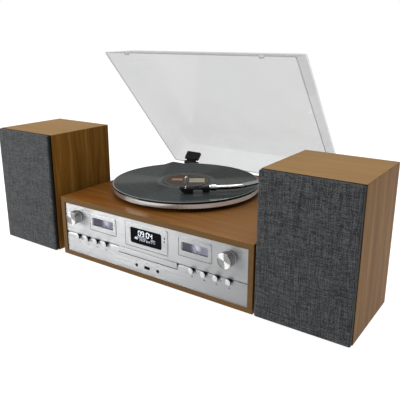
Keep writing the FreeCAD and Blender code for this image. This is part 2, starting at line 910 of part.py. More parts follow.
def build_disc_drive():
    """The disc tray with its front strip, and the mechanism that it slides in."""
    front = rounded_slab(d.tray_front_w, d.tray_front_h, d.key_edge, d.tray_front_t)
    soften(front, d.key_edge / 2, in_front(front))
    place(front, (0, 0, d.tray_front_h / 2))
    plate = box(d.tray_w, d.tray_len, d.tray_t, (0, d.tray_front_t, d.tray_lift))
    well = rod(d.disc_r, d.tray_t, (0, d.disc_y, d.tray_lift + d.tray_t - d.disc_sink))
    pickup = box(d.pickup_w, d.pickup_len, d.tray_t * 3, (0, d.disc_y, -d.tray_t))
    tray_y = fascia_y - d.tray_proud
    node("disc_tray", carve(join(front, plate), well, pickup), on_case(0, tray_y, tray_low))
    floor_z = tray_low + d.tray_lift - d.mech_drop
    gauge = d.tray_w / 2 + d.clearance + d.rail_w / 2
    rail_h = d.mech_drop + d.tray_t + d.bridge_rise
    deck = box(2 * gauge + d.rail_w, d.mech_len, d.mech_floor_t, (0, 0, -d.mech_floor_t))
    rails = in_pairs(lambda s: box(d.rail_w, d.mech_len, rail_h, (s * gauge, 0, 0)))
    ledge_x = d.tray_w / 2 + d.clearance - d.ledge_w / 2
    rails += in_pairs(lambda s: box(d.ledge_w, d.mech_len, d.mech_drop - d.clearance, (s * ledge_x, 0, 0)))
    bridge = box(2 * gauge + d.rail_w, d.bridge_w, d.bridge_t, (0, d.disc_y - d.bridge_w / 2, rail_h))
    leg_h = floor_z - d.mech_floor_t - d.floor_t
    ends = (d.mech_leg_r, d.mech_len - d.mech_leg_r)
    legs = [rod(d.mech_leg_r, leg_h, (s * gauge, y, -d.mech_floor_t - leg_h)) for s in (-1, 1) for y in ends]
    drive = join(deck, *rails, bridge, *legs)
    node("disc_mechanism", drive, on_case(0, fascia_y + d.mech_y, floor_z))


def build_front_sockets():
    """Headphone and line jacks, with a data socket between them."""
    def jack(side):
        nose = rod(d.jack_nose_r, d.fascia_t, ORIGIN, "y")
        block = box(d.jack_body_w, d.jack_body_len, d.jack_body_w, (0, d.fascia_t, -d.jack_body_w / 2))
        bore = rod(d.jack_r, d.jack_depth + d.overrun, (0, -d.overrun, 0), "y")
        return place(carve(join(nose, block), bore), (side * d.jack_x, 0, 0))

    inside_w = d.usb_w - 2 * d.usb_wall
    inside_h = d.usb_h - 2 * d.usb_wall
    shell = carve(box(d.usb_w, d.usb_len, d.usb_h, (0, 0, -d.usb_h / 2)),
                  box(inside_w, d.usb_len, inside_h, (0, -d.usb_wall, -inside_h / 2)))
    tongue = box(inside_w * tongue_w_share, d.usb_len - d.usb_tongue_sink - d.usb_wall, d.usb_tongue_t,
                 (0, d.usb_tongue_sink, inside_h / 2 - d.usb_tongue_t - d.usb_wall))
    node("front_sockets", together(*in_pairs(jack), join(shell, tongue)), on_case(0, fascia_y, jack_z))


def build_boards():
    """Key board behind the groove, and the main and supply boards on the case floor."""
    wide = inner_w - 2 * d.switch_board_inset
    strip = box(wide, d.board_t, switch_board_h, (0, d.switch_board_y, switch_board_z))
    gap_w = d.tray_w + 4 * d.rail_w
    gap = box(gap_w, d.board_t + 2 * d.overrun, switch_board_h + 2 * d.overrun,
              (0, d.switch_board_y - d.overrun, switch_board_z - d.overrun))
    post_len = d.switch_board_y - fascia_back
    post_z = switch_board_z + 2 * d.post_r
    xs = [wide / 2 - d.post_inset, gap_w / 2 + d.post_inset]
    posts = [rod(d.post_r, post_len, (s * x, fascia_back, post_z), "y") for x in xs for s in (-1, 1)]
    key_board = carve(join(strip, *posts), gap)

    def control(side):
        can = rod(d.control_r, d.control_len, ORIGIN, "y")
        bore = rod(d.shaft_r + d.slip, d.control_len - d.control_wall + d.overrun, (0, -d.overrun, 0), "y")
        return place(carve(can, bore), (side * knob_x, fascia_back, knob_z))

    def on_standoffs(width, depth):
        x, y = width / 2 - 2 * d.post_r, (2 * d.post_r, depth - 2 * d.post_r)
        stands = [rod(d.post_r, d.standoff, (s * x, at, 0)) for s in (-1, 1) for at in y]
        return [box(width, depth, d.board_t, (0, 0, d.standoff)), *stands]

    top = d.standoff + d.board_t
    fins = [box(d.fin_t, d.sink_d, d.sink_h, (d.fin_pitch * (i - 3), d.board_t, top)) for i in range(7)]
    sink = box(d.sink_w, d.sink_d, d.sink_base_h, (0, d.board_t, top))
    board_y = fascia_y + d.mech_y + d.mech_len + d.board_front_gap
    board_d = rear_y - board_y - d.board_back_gap
    main = join(*on_standoffs(d.main_board_w, board_d), sink, *fins)
    place(main, (meter_x, board_y, d.floor_t))
    coil = box(d.transformer_w, d.transformer_d, d.transformer_h, (0, d.board_t, top))
    supply = join(*on_standoffs(d.supply_w, board_d - d.supply_short), coil)
    place(supply, (-meter_x, board_y, d.floor_t))
    node("circuit_boards", together(key_board, main, supply, *in_pairs(control)), on_case(0, 0, 0))


def build_rear():
    """Vented rear panel with its sockets, mains inlet and power switch."""
    width = inner_w - 2 * d.clearance
    low = d.floor_t + d.clearance
    panel = box(width, d.rear_t, inner_top - d.clearance - low, (0, 0, low))
    deep = d.rear_t + 2 * d.overrun
    vent_z = d.case_h - d.vent_drop
    vents = [box(d.vent_w, deep, d.vent_h, (s * (d.vent_x + i * d.vent_pitch), -d.overrun, vent_z))
             for s in (-1, 1) for i in range(-4, 5)]
    inlet_hole = box(d.inlet_w - 2 * d.inlet_flange_t, deep, d.inlet_h - 2 * d.inlet_flange_t,
                     (d.inlet_x, -d.overrun, d.terminal_z - d.inlet_h / 2 + d.inlet_flange_t))
    switch_w = d.rocker_w + 2 * d.clearance + 2 * d.rocker_wall
    switch_h = d.rocker_h + 2 * d.clearance + 2 * d.rocker_wall
    switch_hole = box(switch_w, deep, switch_h, (d.rocker_x, -d.overrun, d.terminal_z - switch_h / 2))
    node("rear_panel", carve(panel, *vents, inlet_hole, switch_hole), on_case(0, rear_y, 0))
    node("rear_sockets", together(*rear_terminals(), mains_inlet(), switch_frame(switch_w, switch_h)),
         on_case(0, rear_y + d.rear_t, d.terminal_z))
    half, waist = d.rocker_h / 2 - d.rocker_taper, d.rocker_h / 2
    face, low = d.rocker_depth / 2 + d.rocker_proud, -d.rocker_depth / 2
    rocker = slab([(-half, face), (-waist, 0), (-half, low), (half, low), (waist, 0), (half, face),
                   (0, face - d.rocker_crease)], d.rocker_w)
    bore = rod(d.rocker_pin_r + d.slip, d.rocker_w + 2 * d.overrun, (0, 0, -d.overrun))
    upright = place(carve(rocker, bore), (-d.rocker_w / 2, 0, 0), Vector(0, 1, 0), 90)
    pivot_y = rear_y + d.rear_t + d.rocker_rim_t - d.rocker_depth / 2
    node("power_rocker", together(upright), on_case(d.rocker_x, pivot_y, d.terminal_z),
         Vector(1, 0, 0), d.rocker_tilt)


def rear_terminals():
    """Push terminals for the loudspeakers, a pair of phono sockets and an aerial socket."""
    block = box(d.terminal_w, d.terminal_t, d.terminal_h, (0, 0, -d.terminal_h / 2))
    holes = [rod(d.wire_hole_r, d.terminal_t, ((i - 1.5) * d.wire_pitch, d.terminal_t / 2, z), "y")
             for i in range(4) for z in (-d.terminal_h / 4, d.terminal_h / 4)]
    terminals = place(carve(block, *holes), (-d.terminal_x, 0, 0))

    def phono(side):
        x = side * d.phono_pitch / 2
        return carve(rod(d.phono_r, d.phono_len, (x, 0, 0), "y"),
                     rod(d.phono_hole_r, d.phono_len, (x, d.phono_floor_t, 0), "y"))

    aerial = carve(rod(d.aerial_r, d.phono_len, (d.aerial_x, 0, 0), "y"),
                   rod(d.aerial_hole_r, d.phono_len, (d.aerial_x, d.phono_floor_t, 0), "y"))
    return [terminals, *in_pairs(phono), aerial]


def mains_inlet():
    """A two-pin inlet: a flange on the panel, a body through it and a mouth with two pins."""
    flange = box(d.inlet_w, d.inlet_flange_t, d.inlet_h, (d.inlet_x, 0, -d.inlet_h / 2))
    body_w = d.inlet_w - 2 * d.inlet_flange_t
    body_h = d.inlet_h - 2 * d.inlet_flange_t
    body = box(body_w, d.inlet_depth, body_h, (d.inlet_x, -d.inlet_depth, -body_h / 2))
    mouth = rounded_slab(d.inlet_mouth_w, d.inlet_mouth_h, d.inlet_mouth_h / 2 - d.slip,
                         d.inlet_mouth_depth + d.overrun)
    place(mouth, (d.inlet_x, d.inlet_flange_t - d.inlet_mouth_depth, 0))
    pins = [rod(d.inlet_pin_r, d.inlet_pin_len,
                (d.inlet_x + s * d.inlet_pin_pitch / 2, d.inlet_flange_t - d.inlet_mouth_depth, 0), "y")
            for s in (-1, 1)]
    return join(carve(join(flange, body), mouth), *pins)


def switch_frame(switch_w, switch_h):
    """The sleeve and rim round the power rocker, with the pin that it tilts on."""
    deep = d.rear_t + d.rocker_depth
    sleeve = box(switch_w, deep, switch_h, (d.rocker_x, -deep, -switch_h / 2))
    rim_w, rim_h = switch_w + 2 * d.rocker_wall, switch_h + 2 * d.rocker_wall
    rim = box(rim_w, d.rocker_rim_t, rim_h, (d.rocker_x, 0, -rim_h / 2))
    hole_w, hole_h = switch_w - 2 * d.rocker_wall, switch_h - 2 * d.rocker_wall
    hole = box(hole_w, deep + d.rocker_rim_t + 2 * d.overrun, hole_h,
               (d.rocker_x, -deep - d.overrun, -hole_h / 2))
    pin = rod(d.rocker_pin_r, switch_w,
              (d.rocker_x - switch_w / 2, d.rocker_rim_t - d.rocker_depth / 2, 0), "x")
    return join(carve(join(sleeve, rim), hole), pin)


def build_platter():
    """A cast platter with a bright rim and a belt ring, its mat, spindle and record."""
    web_low = d.platter_rim_h - d.mat_sink - d.platter_web_t
    inner = d.platter_r - d.platter_rim_w
    bore = d.spindle_r + d.slip
    ring_in = d.belt_ring_r - d.belt_ring_w
    profile = [
        (bore, d.belt_ring_lift),
        (d.hub_r, d.belt_ring_lift),
        (d.hub_r, web_low),
        (ring_in, web_low),
        (ring_in, d.belt_ring_lift),
        (d.belt_ring_r, d.belt_ring_lift),
        (d.belt_ring_r, web_low),
        (inner, web_low),
        (inner, 0),
        (d.platter_r - d.platter_edge, 0),
        (d.platter_r, d.platter_edge, d.platter_edge, 1),
        (d.platter_r, d.platter_rim_h - d.platter_edge),
        (d.platter_r - d.platter_edge, d.platter_rim_h, d.platter_edge, 1),
        (d.platter_r - d.mat_lip, d.platter_rim_h),
        (d.platter_r - d.mat_lip, d.platter_rim_h - d.mat_sink),
        (bore, d.platter_rim_h - d.mat_sink),
    ]
    centre = on_case(d.platter_x, platter_y, platter_bottom)
    node("platter", together(turned(profile)), centre)
    mat_r = d.platter_r - d.mat_lip - d.clearance
    mat = [(d.mat_hole_r, 0), (mat_r, 0), (mat_r, d.mat_t), (d.mat_hole_r, d.mat_t)]
    node("platter_mat", together(turned(mat)), on_case(d.platter_x, platter_y, d.case_h + deck_to_mat))
    build_spindle()
    build_record()


def build_spindle():
    """The spindle: a thick journal in the bearing and a thin pin with a round tip."""
    low = d.case_h + d.bearing_flange_t - d.bearing_len + d.bearing_cap_t + d.clearance
    top = d.case_h + deck_to_record + d.record_t + d.spindle_rise
    shoulder = platter_bottom + d.belt_ring_lift
    label = top - d.spindle_rise + d.label_rise
    profile = [
        (0, low),
        (d.journal_r, low),
        (d.journal_r, shoulder),
        (d.spindle_r, shoulder),
        (d.spindle_r, label),
        (d.spindle_end_r, label),
        (d.spindle_end_r, top - d.spindle_tip_h),
        (d.spindle_tip_r, top),
        (0, top),
    ]
    node("spindle", together(turned(profile)), on_case(d.platter_x, platter_y, 0))


def build_record():
    """A long-playing record: raised label, dead wax, grooved band and thick edge."""
    hole = d.spindle_r + d.slip
    band_in, band_out = d.dead_wax_r, d.record_r - d.lead_in_w
    play = d.record_t - d.groove_sink
    profile = [
        (hole, 0),
        (d.record_r, 0),
        (d.record_r, d.record_t),
        (band_out, d.record_t),
        (band_out, play),
        (band_in, play),
        (d.label_r, play + d.groove_sink / 2),
        (d.label_r, d.record_t + d.label_rise),
        (hole, d.record_t + d.label_rise),
    ]
    node("record", together(turned(profile)), on_case(d.platter_x, platter_y, d.case_h + deck_to_record))


def build_drive():
    """Bearing through the deck, motor below it, pulley and flat belt under the platter."""
    bearing_low = d.bearing_flange_t - d.bearing_len
    bore = d.journal_r + d.slip
    profile = [
        (0, bearing_low),
        (d.bearing_r, bearing_low),
        (d.bearing_r, 0),
        (d.bearing_flange_r, 0),
        (d.bearing_flange_r, d.bearing_flange_t),
        (bore, d.bearing_flange_t),
        (bore, bearing_low + d.bearing_cap_t),
        (0, bearing_low + d.bearing_cap_t),
    ]
    node("platter_bearing", together(turned(profile)), on_case(d.platter_x, platter_y, d.case_h))
    pulley_z = d.platter_gap + d.belt_ring_lift - d.pulley_flange_t
    can = rod(d.motor_r, d.motor_h, (0, 0, -d.motor_h - d.motor_ear_t))
    ears = box(d.motor_ear_w, d.motor_ear_d, d.motor_ear_t, (0, -d.motor_ear_d / 2, -d.motor_ear_t))
    neck = rod(d.motor_neck_r, d.motor_neck_h)
    shaft = rod(d.motor_shaft_r, d.top_t + pulley_z + d.pulley_h - d.pulley_flange_t)
    node("motor", join(can, ears, neck, shaft), on_case(motor_x, motor_y, inner_top))
    pulley = [
        (d.motor_shaft_r + d.slip, 0),
        (d.pulley_flange_r, 0),
        (d.pulley_flange_r, d.pulley_flange_t),
        (d.pulley_r, d.pulley_flange_t),
        (d.pulley_r, d.pulley_h - d.pulley_flange_t),
        (d.pulley_flange_r, d.pulley_h - d.pulley_flange_t),
        (d.pulley_flange_r, d.pulley_h),
        (d.motor_shaft_r + d.slip, d.pulley_h),
    ]
    node("motor_pulley", together(turned(pulley)), on_case(motor_x, motor_y, d.case_h + pulley_z))
    build_belt(pulley_z + d.pulley_h / 2 - d.belt_w / 2)


def belt_loop(grow):
    """The outline round the belt ring and the pulley, grown outwards."""
    big, small = d.belt_ring_r + grow, d.pulley_r + grow
    lean = Size(math.degrees(math.acos((big - small).value / d.motor_reach.value)),
                f"acos({(big - small).formula} / {d.motor_reach.formula})")
    up, out = sine(lean), cosine(lean)
    reach = d.motor_reach
    return [
        (big * out, big * up),
        (-big, 0, big, 1),
        (big * out, -big * up, big, 1),
        (reach + small * out, -small * up),
        (reach + small, 0, small, 1),
        (reach + small * out, small * up, small, 1),
    ]


def build_belt(height):
    """A flat belt that wraps the ring and the pulley with a little slack."""
    outer = slab(belt_loop(d.clearance + d.belt_t), d.belt_w)
    inner = slab(belt_loop(d.clearance), d.belt_w + 2 * d.overrun, at=(0, 0, -d.overrun))
    at = on_case(d.platter_x, platter_y, d.case_h + height)
    node("drive_belt", carve(outer, inner), at, Vector(0, 0, 1), d.motor_angle)


def build_adapter():
    """The adapter for records with a large hole, kept on the deck."""
    profile = [
        (d.adapter_hole_r, 0),
        (d.adapter_r, 0),
        (d.adapter_r, d.adapter_h),
        (d.adapter_step_r, d.adapter_h),
        (d.adapter_step_r, d.adapter_h + d.adapter_step_h),
        (d.adapter_hole_r, d.adapter_h + d.adapter_step_h),
    ]
    node("single_adapter", together(turned(profile)),
         on_case(d.adapter_side - d.case_w / 2, d.case_d - d.adapter_back, d.case_h))


def arm_point(forward, sideways, height):
    """A point of the arm, counted from its pivot on the deck along the rear of its tube."""
    along, across = cosine(d.arm_angle), sine(d.arm_angle)
    x = d.arm_x + forward * along + sideways * across
    y = arm_y - forward * across + sideways * along
    return on_case(x, y, d.case_h + height)


def build_arm_base():
    """A plate on the deck with the pivot pillar, the lift post and the cue lever's post."""
    plate = rounded_slab(d.base_w, d.base_d, d.base_corner, d.base_t, "XY_Plane", (d.base_x, d.base_y, 0))
    pillar_h = d.arm_h - d.yoke_drop - d.yoke_base_t - d.yoke_flange_t - d.clearance
    pillar = turned([(0, 0), (d.pillar_r, 0), (d.pillar_top_r, pillar_h), (0, pillar_h)])
    bore = rod(d.yoke_shaft_r + d.slip, pillar_h, (0, 0, pillar_h - d.yoke_shaft_len - d.clearance))
    lift_x, lift_y = d.lift_reach * cosine(d.lift_angle), -d.lift_reach * sine(d.lift_angle)
    post = rod(d.lift_post_r, d.lift_post_h, (lift_x, lift_y, 0))
    stem = rod(d.lift_stem_r + d.slip, d.lift_post_h, (lift_x, lift_y, d.lift_post_h - d.lift_stem_len))
    cue = box(d.cue_post_w, d.cue_post_d, d.cue_h + d.cue_hub_r,
              (d.cue_x - d.cue_post_w / 2, d.cue_y - d.cue_post_d / 2, 0))
    pin = rod(d.cue_pin_r, d.cue_hub_w + d.clearance, (d.cue_x, d.cue_y, d.cue_h), "x")
    node("arm_base", carve(join(plate, pillar, post, cue, pin), bore, stem),
         on_case(d.arm_x, arm_y, d.case_h))


def build_cueing():
    """The lift bar that raises the arm, and the lever that works it."""
    inside, outside = d.lift_reach - d.lift_w / 2, d.lift_reach + d.lift_w / 2
    along, across = cosine(d.lift_sweep_angle), sine(d.lift_sweep_angle)
    arc = slab([
        (inside * along, -inside * across, inside, -1),
        (outside * along, -outside * across),
        (outside * along, outside * across, outside, 1),
        (inside * along, inside * across),
    ], d.lift_t)
    top = d.arm_h - d.arm_tube_r - d.lift_gap
    low = d.lift_post_h - d.lift_stem_len + d.clearance
    stem = rod(d.lift_stem_r, top - d.lift_t - low, (d.lift_reach, 0, low - top + d.lift_t))
    node("arm_lifter", join(arc, stem), on_case(d.arm_x, arm_y, d.case_h + top - d.lift_t),
         Vector(0, 0, -1), d.lift_angle)
    hub = rod(d.cue_hub_r, d.cue_hub_w, ORIGIN, "x")
    lever = box(d.cue_w, d.cue_len, d.cue_w, (d.cue_hub_w / 2, -d.cue_len, -d.cue_w / 2))
    tip = rod(d.cue_tip_r, d.cue_hub_w, (0, -d.cue_len, 0), "x")
    bore = rod(d.cue_pin_r + d.slip, d.cue_hub_w + 2 * d.overrun, (-d.overrun, 0, 0), "x")
    node("cue_lever", carve(join(hub, lever, tip), bore),
         on_case(d.arm_x + d.cue_x + d.clearance, arm_y + d.cue_y, d.case_h + d.cue_h))


def build_yoke():
    """The yoke that turns on the pillar and holds the arm's pivot between two ears."""
    ear_h = d.yoke_drop + d.arm_pivot_r
    ear_y = d.arm_pivot_w / 2 + d.clearance
    span = 2 * (ear_y + d.yoke_ear_t)
    low = -d.yoke_drop - d.yoke_base_t
    base = box(d.yoke_len, span, d.yoke_base_t, (0, -span / 2, low))
    ears = [box(d.yoke_len, d.yoke_ear_t, ear_h, (0, y, -d.yoke_drop))
            for y in (ear_y, -ear_y - d.yoke_ear_t)]
    flange = rod(d.yoke_flange_r, d.yoke_flange_t, (0, 0, low - d.yoke_flange_t))
    shaft = rod(d.yoke_shaft_r, d.yoke_shaft_len, (0, 0, low - d.yoke_flange_t - d.yoke_shaft_len))
    pins = [rod(d.pivot_pin_r, d.pivot_pin_len, (0, y, 0), "y") for y in (ear_y - d.pivot_pin_len, -ear_y)]
    node("arm_yoke", join(base, *ears, flange, shaft, *pins), arm_point(0, 0, d.arm_h),
         Vector(0, 0, -1), d.arm_angle)


def arm_tube_path():
    """The centre line of the tube: straight from the pivot, bent to the head, straight again."""
    back = d.arm_bend_r * tangent(d.arm_bend_angle / 2)
    along, across = cosine(d.arm_bend_angle), sine(d.arm_bend_angle)
    return [
        (-d.arm_stub_start, 0),
        (d.arm_rear_len - back, 0),
        (d.arm_rear_len + back * along, -back * across, d.arm_bend_r, -1),
        (d.arm_rear_len + d.arm_front_len * along, -d.arm_front_len * across),
    ]


def build_arm():
    """Bent tube with its pivot, locking collar and rear stub, and the weight on the stub."""
    body = doc.addObject("PartDesign::Body", "bent_tube")
    path = new_sketch(body, "XY_Plane")
    draw(path, arm_tube_path(), closed=False)
    section = new_sketch(body, "YZ_Plane", -d.arm_stub_start)
    edge = section.addGeometry(Part.Circle(Vector(0, 0, 0), Vector(0, 0, 1), d.arm_tube_r.value))
    section.addConstraint(Sketcher.Constraint("Coincident", edge, 3, -1, 1))
    number = section.addConstraint(Sketcher.Constraint("Radius", edge, d.arm_tube_r.value))
    section.setExpression(f"Constraints[{number}]", d.arm_tube_r.formula)
    pipe = body.newObject("PartDesign::AdditivePipe", "tube")
    pipe.Profile = section
    pipe.Spine = (path, ["Edge1", "Edge2", "Edge3"])
    collar = turned([
        (0, 0),
        (d.collar_r, 0),
        (d.collar_r, d.collar_len * collar_grip_share),
        (d.collar_ring_r, d.collar_len * collar_grip_share + d.collar_ring_len),
        (d.collar_ring_r, d.collar_len),
        (0, d.collar_len),
    ], "x")
    collar = place(together(collar), head_start(-d.collar_len), Vector(0, 0, -1), d.arm_bend_angle)
    pivot = rod(d.arm_pivot_r, d.arm_pivot_w, (0, -d.arm_pivot_w / 2, 0), "y")
    stub = rod(d.arm_stub_r, d.arm_stub_end - d.arm_stub_start, (-d.arm_stub_end, 0, 0), "x")
    bore = rod(d.pivot_pin_r + d.slip, d.arm_pivot_w + 2 * d.overrun,
               (0, -d.arm_pivot_w / 2 - d.overrun, 0), "y")
    core = rod(d.arm_tube_r, d.arm_pivot_w - 2 * d.pivot_pin_len - 2 * d.clearance,
               (0, d.pivot_pin_len + d.clearance - d.arm_pivot_w / 2, 0), "y")
    arm = join(carve(join(body, collar, pivot, stub), bore), core)
    node("arm_tube", arm, arm_point(0, 0, d.arm_h), Vector(0, 0, -1), d.arm_angle)
    end = d.weight_start + d.weight_len
    bore_r = d.arm_stub_r + d.slip
    weight = [
        (bore_r, -end),
        (d.weight_r - d.weight_edge, -end),
        (d.weight_r, d.weight_edge - end),
        (d.weight_r, -d.weight_start - d.weight_ring_len),
        (d.weight_ring_r, -d.weight_start - d.weight_ring_len),
        (d.weight_ring_r, -d.weight_start),
        (bore_r, -d.weight_start),
    ]
    node("counterweight", together(turned(weight, "x")), arm_point(0, 0, d.arm_h),
         Vector(0, 0, -1), d.arm_angle)


def head_start(forward):
    """A point on the head's centre line, counted from the tube's end, in the arm's own frame."""
    reach = d.arm_front_len + forward
    return (d.arm_rear_len + reach * cosine(d.arm_bend_angle), -reach * sine(d.arm_bend_angle), 0)


def build_head():
    """The headshell with its finger lift, and the cartridge with its stylus below."""
    start = head_start(0)
    at = arm_point(start[0], start[1], d.arm_h)
    turn = d.arm_angle + d.arm_bend_angle
    corners = [
        (0, -d.shell_neck_w / 2),
        (d.shell_neck_len, -d.shell_neck_w / 2),
        (d.shell_shoulder, -d.shell_w / 2),
        (d.shell_len, -d.shell_tip_w / 2),
        (d.shell_len, d.shell_tip_w / 2),
        (d.shell_shoulder, d.shell_w / 2),
        (d.shell_neck_len, d.shell_neck_w / 2),
        (0, d.shell_neck_w / 2),
    ]
    plate = slab(corners, d.shell_t, at=(0, 0, -d.shell_t / 2))
    rise = d.shell_neck_drop - d.shell_t / 2
    neck = slab([
        (0, -d.shell_t / 2),
        (0, -d.shell_neck_drop),
        (d.shell_neck_block, -d.shell_neck_drop),
        (d.shell_neck_block + rise, -d.shell_t / 2, rise, -1),
    ], d.shell_neck_w, "XZ_Plane", (0, -d.shell_neck_w / 2, 0))
    window = rounded_slab(d.shell_window_len, d.shell_window_w, d.shell_window_w / 2 - d.slip,
                          d.shell_t + 2 * d.overrun, "XY_Plane",
                          (d.shell_window_x, 0, -d.shell_t / 2 - d.overrun))
    finger_z = d.shell_t / 2 - d.finger_t
    arm = box(d.finger_w, d.finger_reach, d.finger_t, (d.finger_x, 0, finger_z))
    curl = box(d.finger_w, d.finger_t, d.finger_curl, (d.finger_x, d.finger_reach - d.finger_t, finger_z))
    node("headshell", join(carve(join(plate, neck), window), arm, curl), at, Vector(0, 0, -1), turn)
    back, front = d.cartridge_x, d.cartridge_x + d.cartridge_len
    profile = [
        (back, -d.cartridge_h),
        (front - d.cartridge_nose, -d.cartridge_h),
        (front, -d.cartridge_foot),
        (front, 0),
        (back, 0),
    ]
    block = slab(profile, d.cartridge_w, "XZ_Plane", (0, -d.cartridge_w / 2, -d.shell_t / 2))
    drop = d.arm_h - d.shell_t / 2 - d.cartridge_h - deck_to_record - d.record_t - d.stylus_gap
    tip = d.arm_h - deck_to_record - d.record_t - d.stylus_gap
    needle = doc.addObject("Part::Cone", "stylus")
    bind(needle, Radius1=d.slip, Radius2=d.stylus_r, Height=drop + d.stylus_r)
    place(needle, (d.stylus_x - d.cartridge_nose / 2, 0, -tip))
    node("cartridge", join(block, needle), at, Vector(0, 0, -1), turn)


def build_arm_rest():
    """A post with a seat that the parked tube lies on, and a wall that stops it."""
    seat_z = d.arm_h - d.arm_tube_r - d.rest_gap
    wall_y = d.arm_tube_r + d.rest_gap
    foot = rod(d.rest_foot_r, d.rest_foot_t)
    post = rod(d.rest_post_r, seat_z - d.rest_seat_t)
    seat = box(d.rest_w, d.rest_seat_len, d.rest_seat_t,
               (0, wall_y + d.rest_wall_t - d.rest_seat_len, seat_z - d.rest_seat_t))
    wall = box(d.rest_w, d.rest_wall_t, d.rest_wall_h, (0, wall_y, seat_z))
    x = d.arm_x + d.rest_reach * cosine(d.rest_angle)
    y = arm_y - d.rest_reach * sine(d.rest_angle)
    node("arm_rest", join(foot, post, seat, wall), on_case(x, y, d.case_h), Vector(0, 0, -1), d.rest_angle)


def build_speed_switch():
    """A small lever on the deck that picks the speed, on a pin of its own."""
    hub = rod(d.speed_hub_r, d.speed_hub_h, (0, 0, d.clearance))
    lever = box(d.speed_w, d.speed_len, d.speed_lever_h, (0, -d.speed_len, d.clearance))
    pin = rod(d.speed_pin_r, d.top_t + d.clearance, (0, 0, -d.top_t))
    node("speed_lever", join(hub, lever, pin), on_case(speed_x, speed_y, d.case_h))


def lid_half_w(height):
    """Half the dust cover's outer width at a height above its rim."""
    return lid_w / 2 - d.lid_side_slope * height / d.lid_h


def lid_outline(height, wall, radius):
    """The dust cover's outline at a height above its rim, set in by a wall."""
    half = lid_half_w(height) - wall
    front = d.lid_slope * height / d.lid_h - lid_len + wall
    back = -d.lid_back_slope * height / d.lid_h - wall
    return rounded(-half, front, half, back, radius)


def build_dust_cover():
    """A clear moulded cover with drafted walls, a sloped front and two notches for its hinges."""
    body = doc.addObject("PartDesign::Body", "cover")
    shells = (
        ("PartDesign::AdditiveLoft", as_size(0), d.lid_h, as_size(0), d.lid_corner),
        ("PartDesign::SubtractiveLoft", -d.overrun, d.lid_h - d.lid_t, d.lid_t, d.lid_corner - d.lid_t),
    )
    for kind, low, high, wall, radius in shells:
        ends = []
        for height in (low, high):
            sketch = new_sketch(body, "XY_Plane", height)
            draw(sketch, lid_outline(height, wall, radius))
            ends.append(sketch)
        loft = body.newObject(kind, "walls")
        loft.Profile = ends[0]
        loft.Sections = [ends[1]]
        loft.Ruled = True
        doc.recompute()
    notches = in_pairs(lambda s: box(d.notch_w, d.leaf_t, d.notch_h + d.overrun,
                                     (s * hinge_x, d.lid_t - d.leaf_t, -d.overrun)))
    nub_h = d.hinge_rise - d.clearance
    nub_x = d.case_w / 2 - d.lid_nub_inset
    nubs = in_pairs(lambda s: box(d.lid_nub_w, d.lid_t, nub_h, (s * nub_x, -lid_len, -nub_h)))
    cover = join(carve(body, *notches), *nubs)
    node("dust_cover", cover, hinge_line(), Vector(-1, 0, 0), d.lid_open_angle)


def hinge_line():
    """The middle of the hinge axis, just behind and above the deck."""
    return on_case(0, d.case_d + d.hinge_back, d.case_h + d.hinge_rise)


def leaf_y(height):
    """Where a hinge leaf's back lies against the cover's rear wall."""
    return -d.lid_t - d.lid_back_slope * height / d.lid_h


def build_hinges():
    """Brackets with pins on the rear of the case, and leaves inside the cover."""
    def leaf(side):
        block = slab([
            (leaf_y(d.leaf_low), d.leaf_low),
            (leaf_y(d.leaf_high), d.leaf_high),
            (leaf_y(d.leaf_high) - d.leaf_t, d.leaf_high),
            (leaf_y(d.leaf_low) - d.leaf_t, d.leaf_low),
        ], d.hinge_w, "YZ_Plane", (-d.hinge_w / 2, 0, 0))
        web = slab([
            (-d.barrel_r, 0),
            (0, 0),
            (0, d.barrel_r),
            (leaf_y(d.leaf_low), d.leaf_low),
            (leaf_y(d.leaf_low) - d.leaf_t, d.leaf_low),
        ], d.barrel_w, "YZ_Plane", (-d.barrel_w / 2, 0, 0))
        barrel = rod(d.barrel_r, d.barrel_w, (-d.barrel_w / 2, 0, 0), "x")
        bore = rod(d.hinge_pin_r + d.slip, d.barrel_w + 2 * d.overrun,
                   (-d.barrel_w / 2 - d.overrun, 0, 0), "x")
        return place(carve(join(block, web, barrel), bore), (side * hinge_x, 0, 0))

    def bracket(side):
        ear_w = d.hinge_w / 2 - d.barrel_w / 2 - d.ear_gap
        ear_x = d.barrel_w / 2 + d.ear_gap + ear_w / 2
        plate = box(d.hinge_w, d.bracket_t, d.bracket_drop - d.ear_r,
                    (0, -d.hinge_back, -d.bracket_drop))
        ears = []
        for s in (-1, 1):
            ears.append(rod(d.ear_r, ear_w, (s * ear_x - ear_w / 2, 0, 0), "x"))
            ears.append(box(ear_w, d.ear_r + d.hinge_back, d.ear_r,
                            (s * ear_x, -d.hinge_back, -d.ear_r)))
        bore = rod(d.hinge_pin_r, d.hinge_w + 2 * d.overrun, (-d.hinge_w / 2 - d.overrun, 0, 0), "x")
        return place(carve(join(plate, *ears), bore), (side * hinge_x, 0, 0))

    def pin(side):
        return rod(d.hinge_pin_r, d.hinge_w, (side * hinge_x - d.hinge_w / 2, 0, 0), "x")

    node("lid_hinges", together(*in_pairs(leaf)), hinge_line(), Vector(-1, 0, 0), d.lid_open_angle)
    node("hinge_brackets", together(*in_pairs(bracket), *in_pairs(pin)), hinge_line())


def peg_places():
    x = d.speaker_w / 2 - d.peg_inset
    return [(s * x, z) for s in (-1, 1) for z in (d.peg_inset, d.speaker_h - d.peg_inset)]


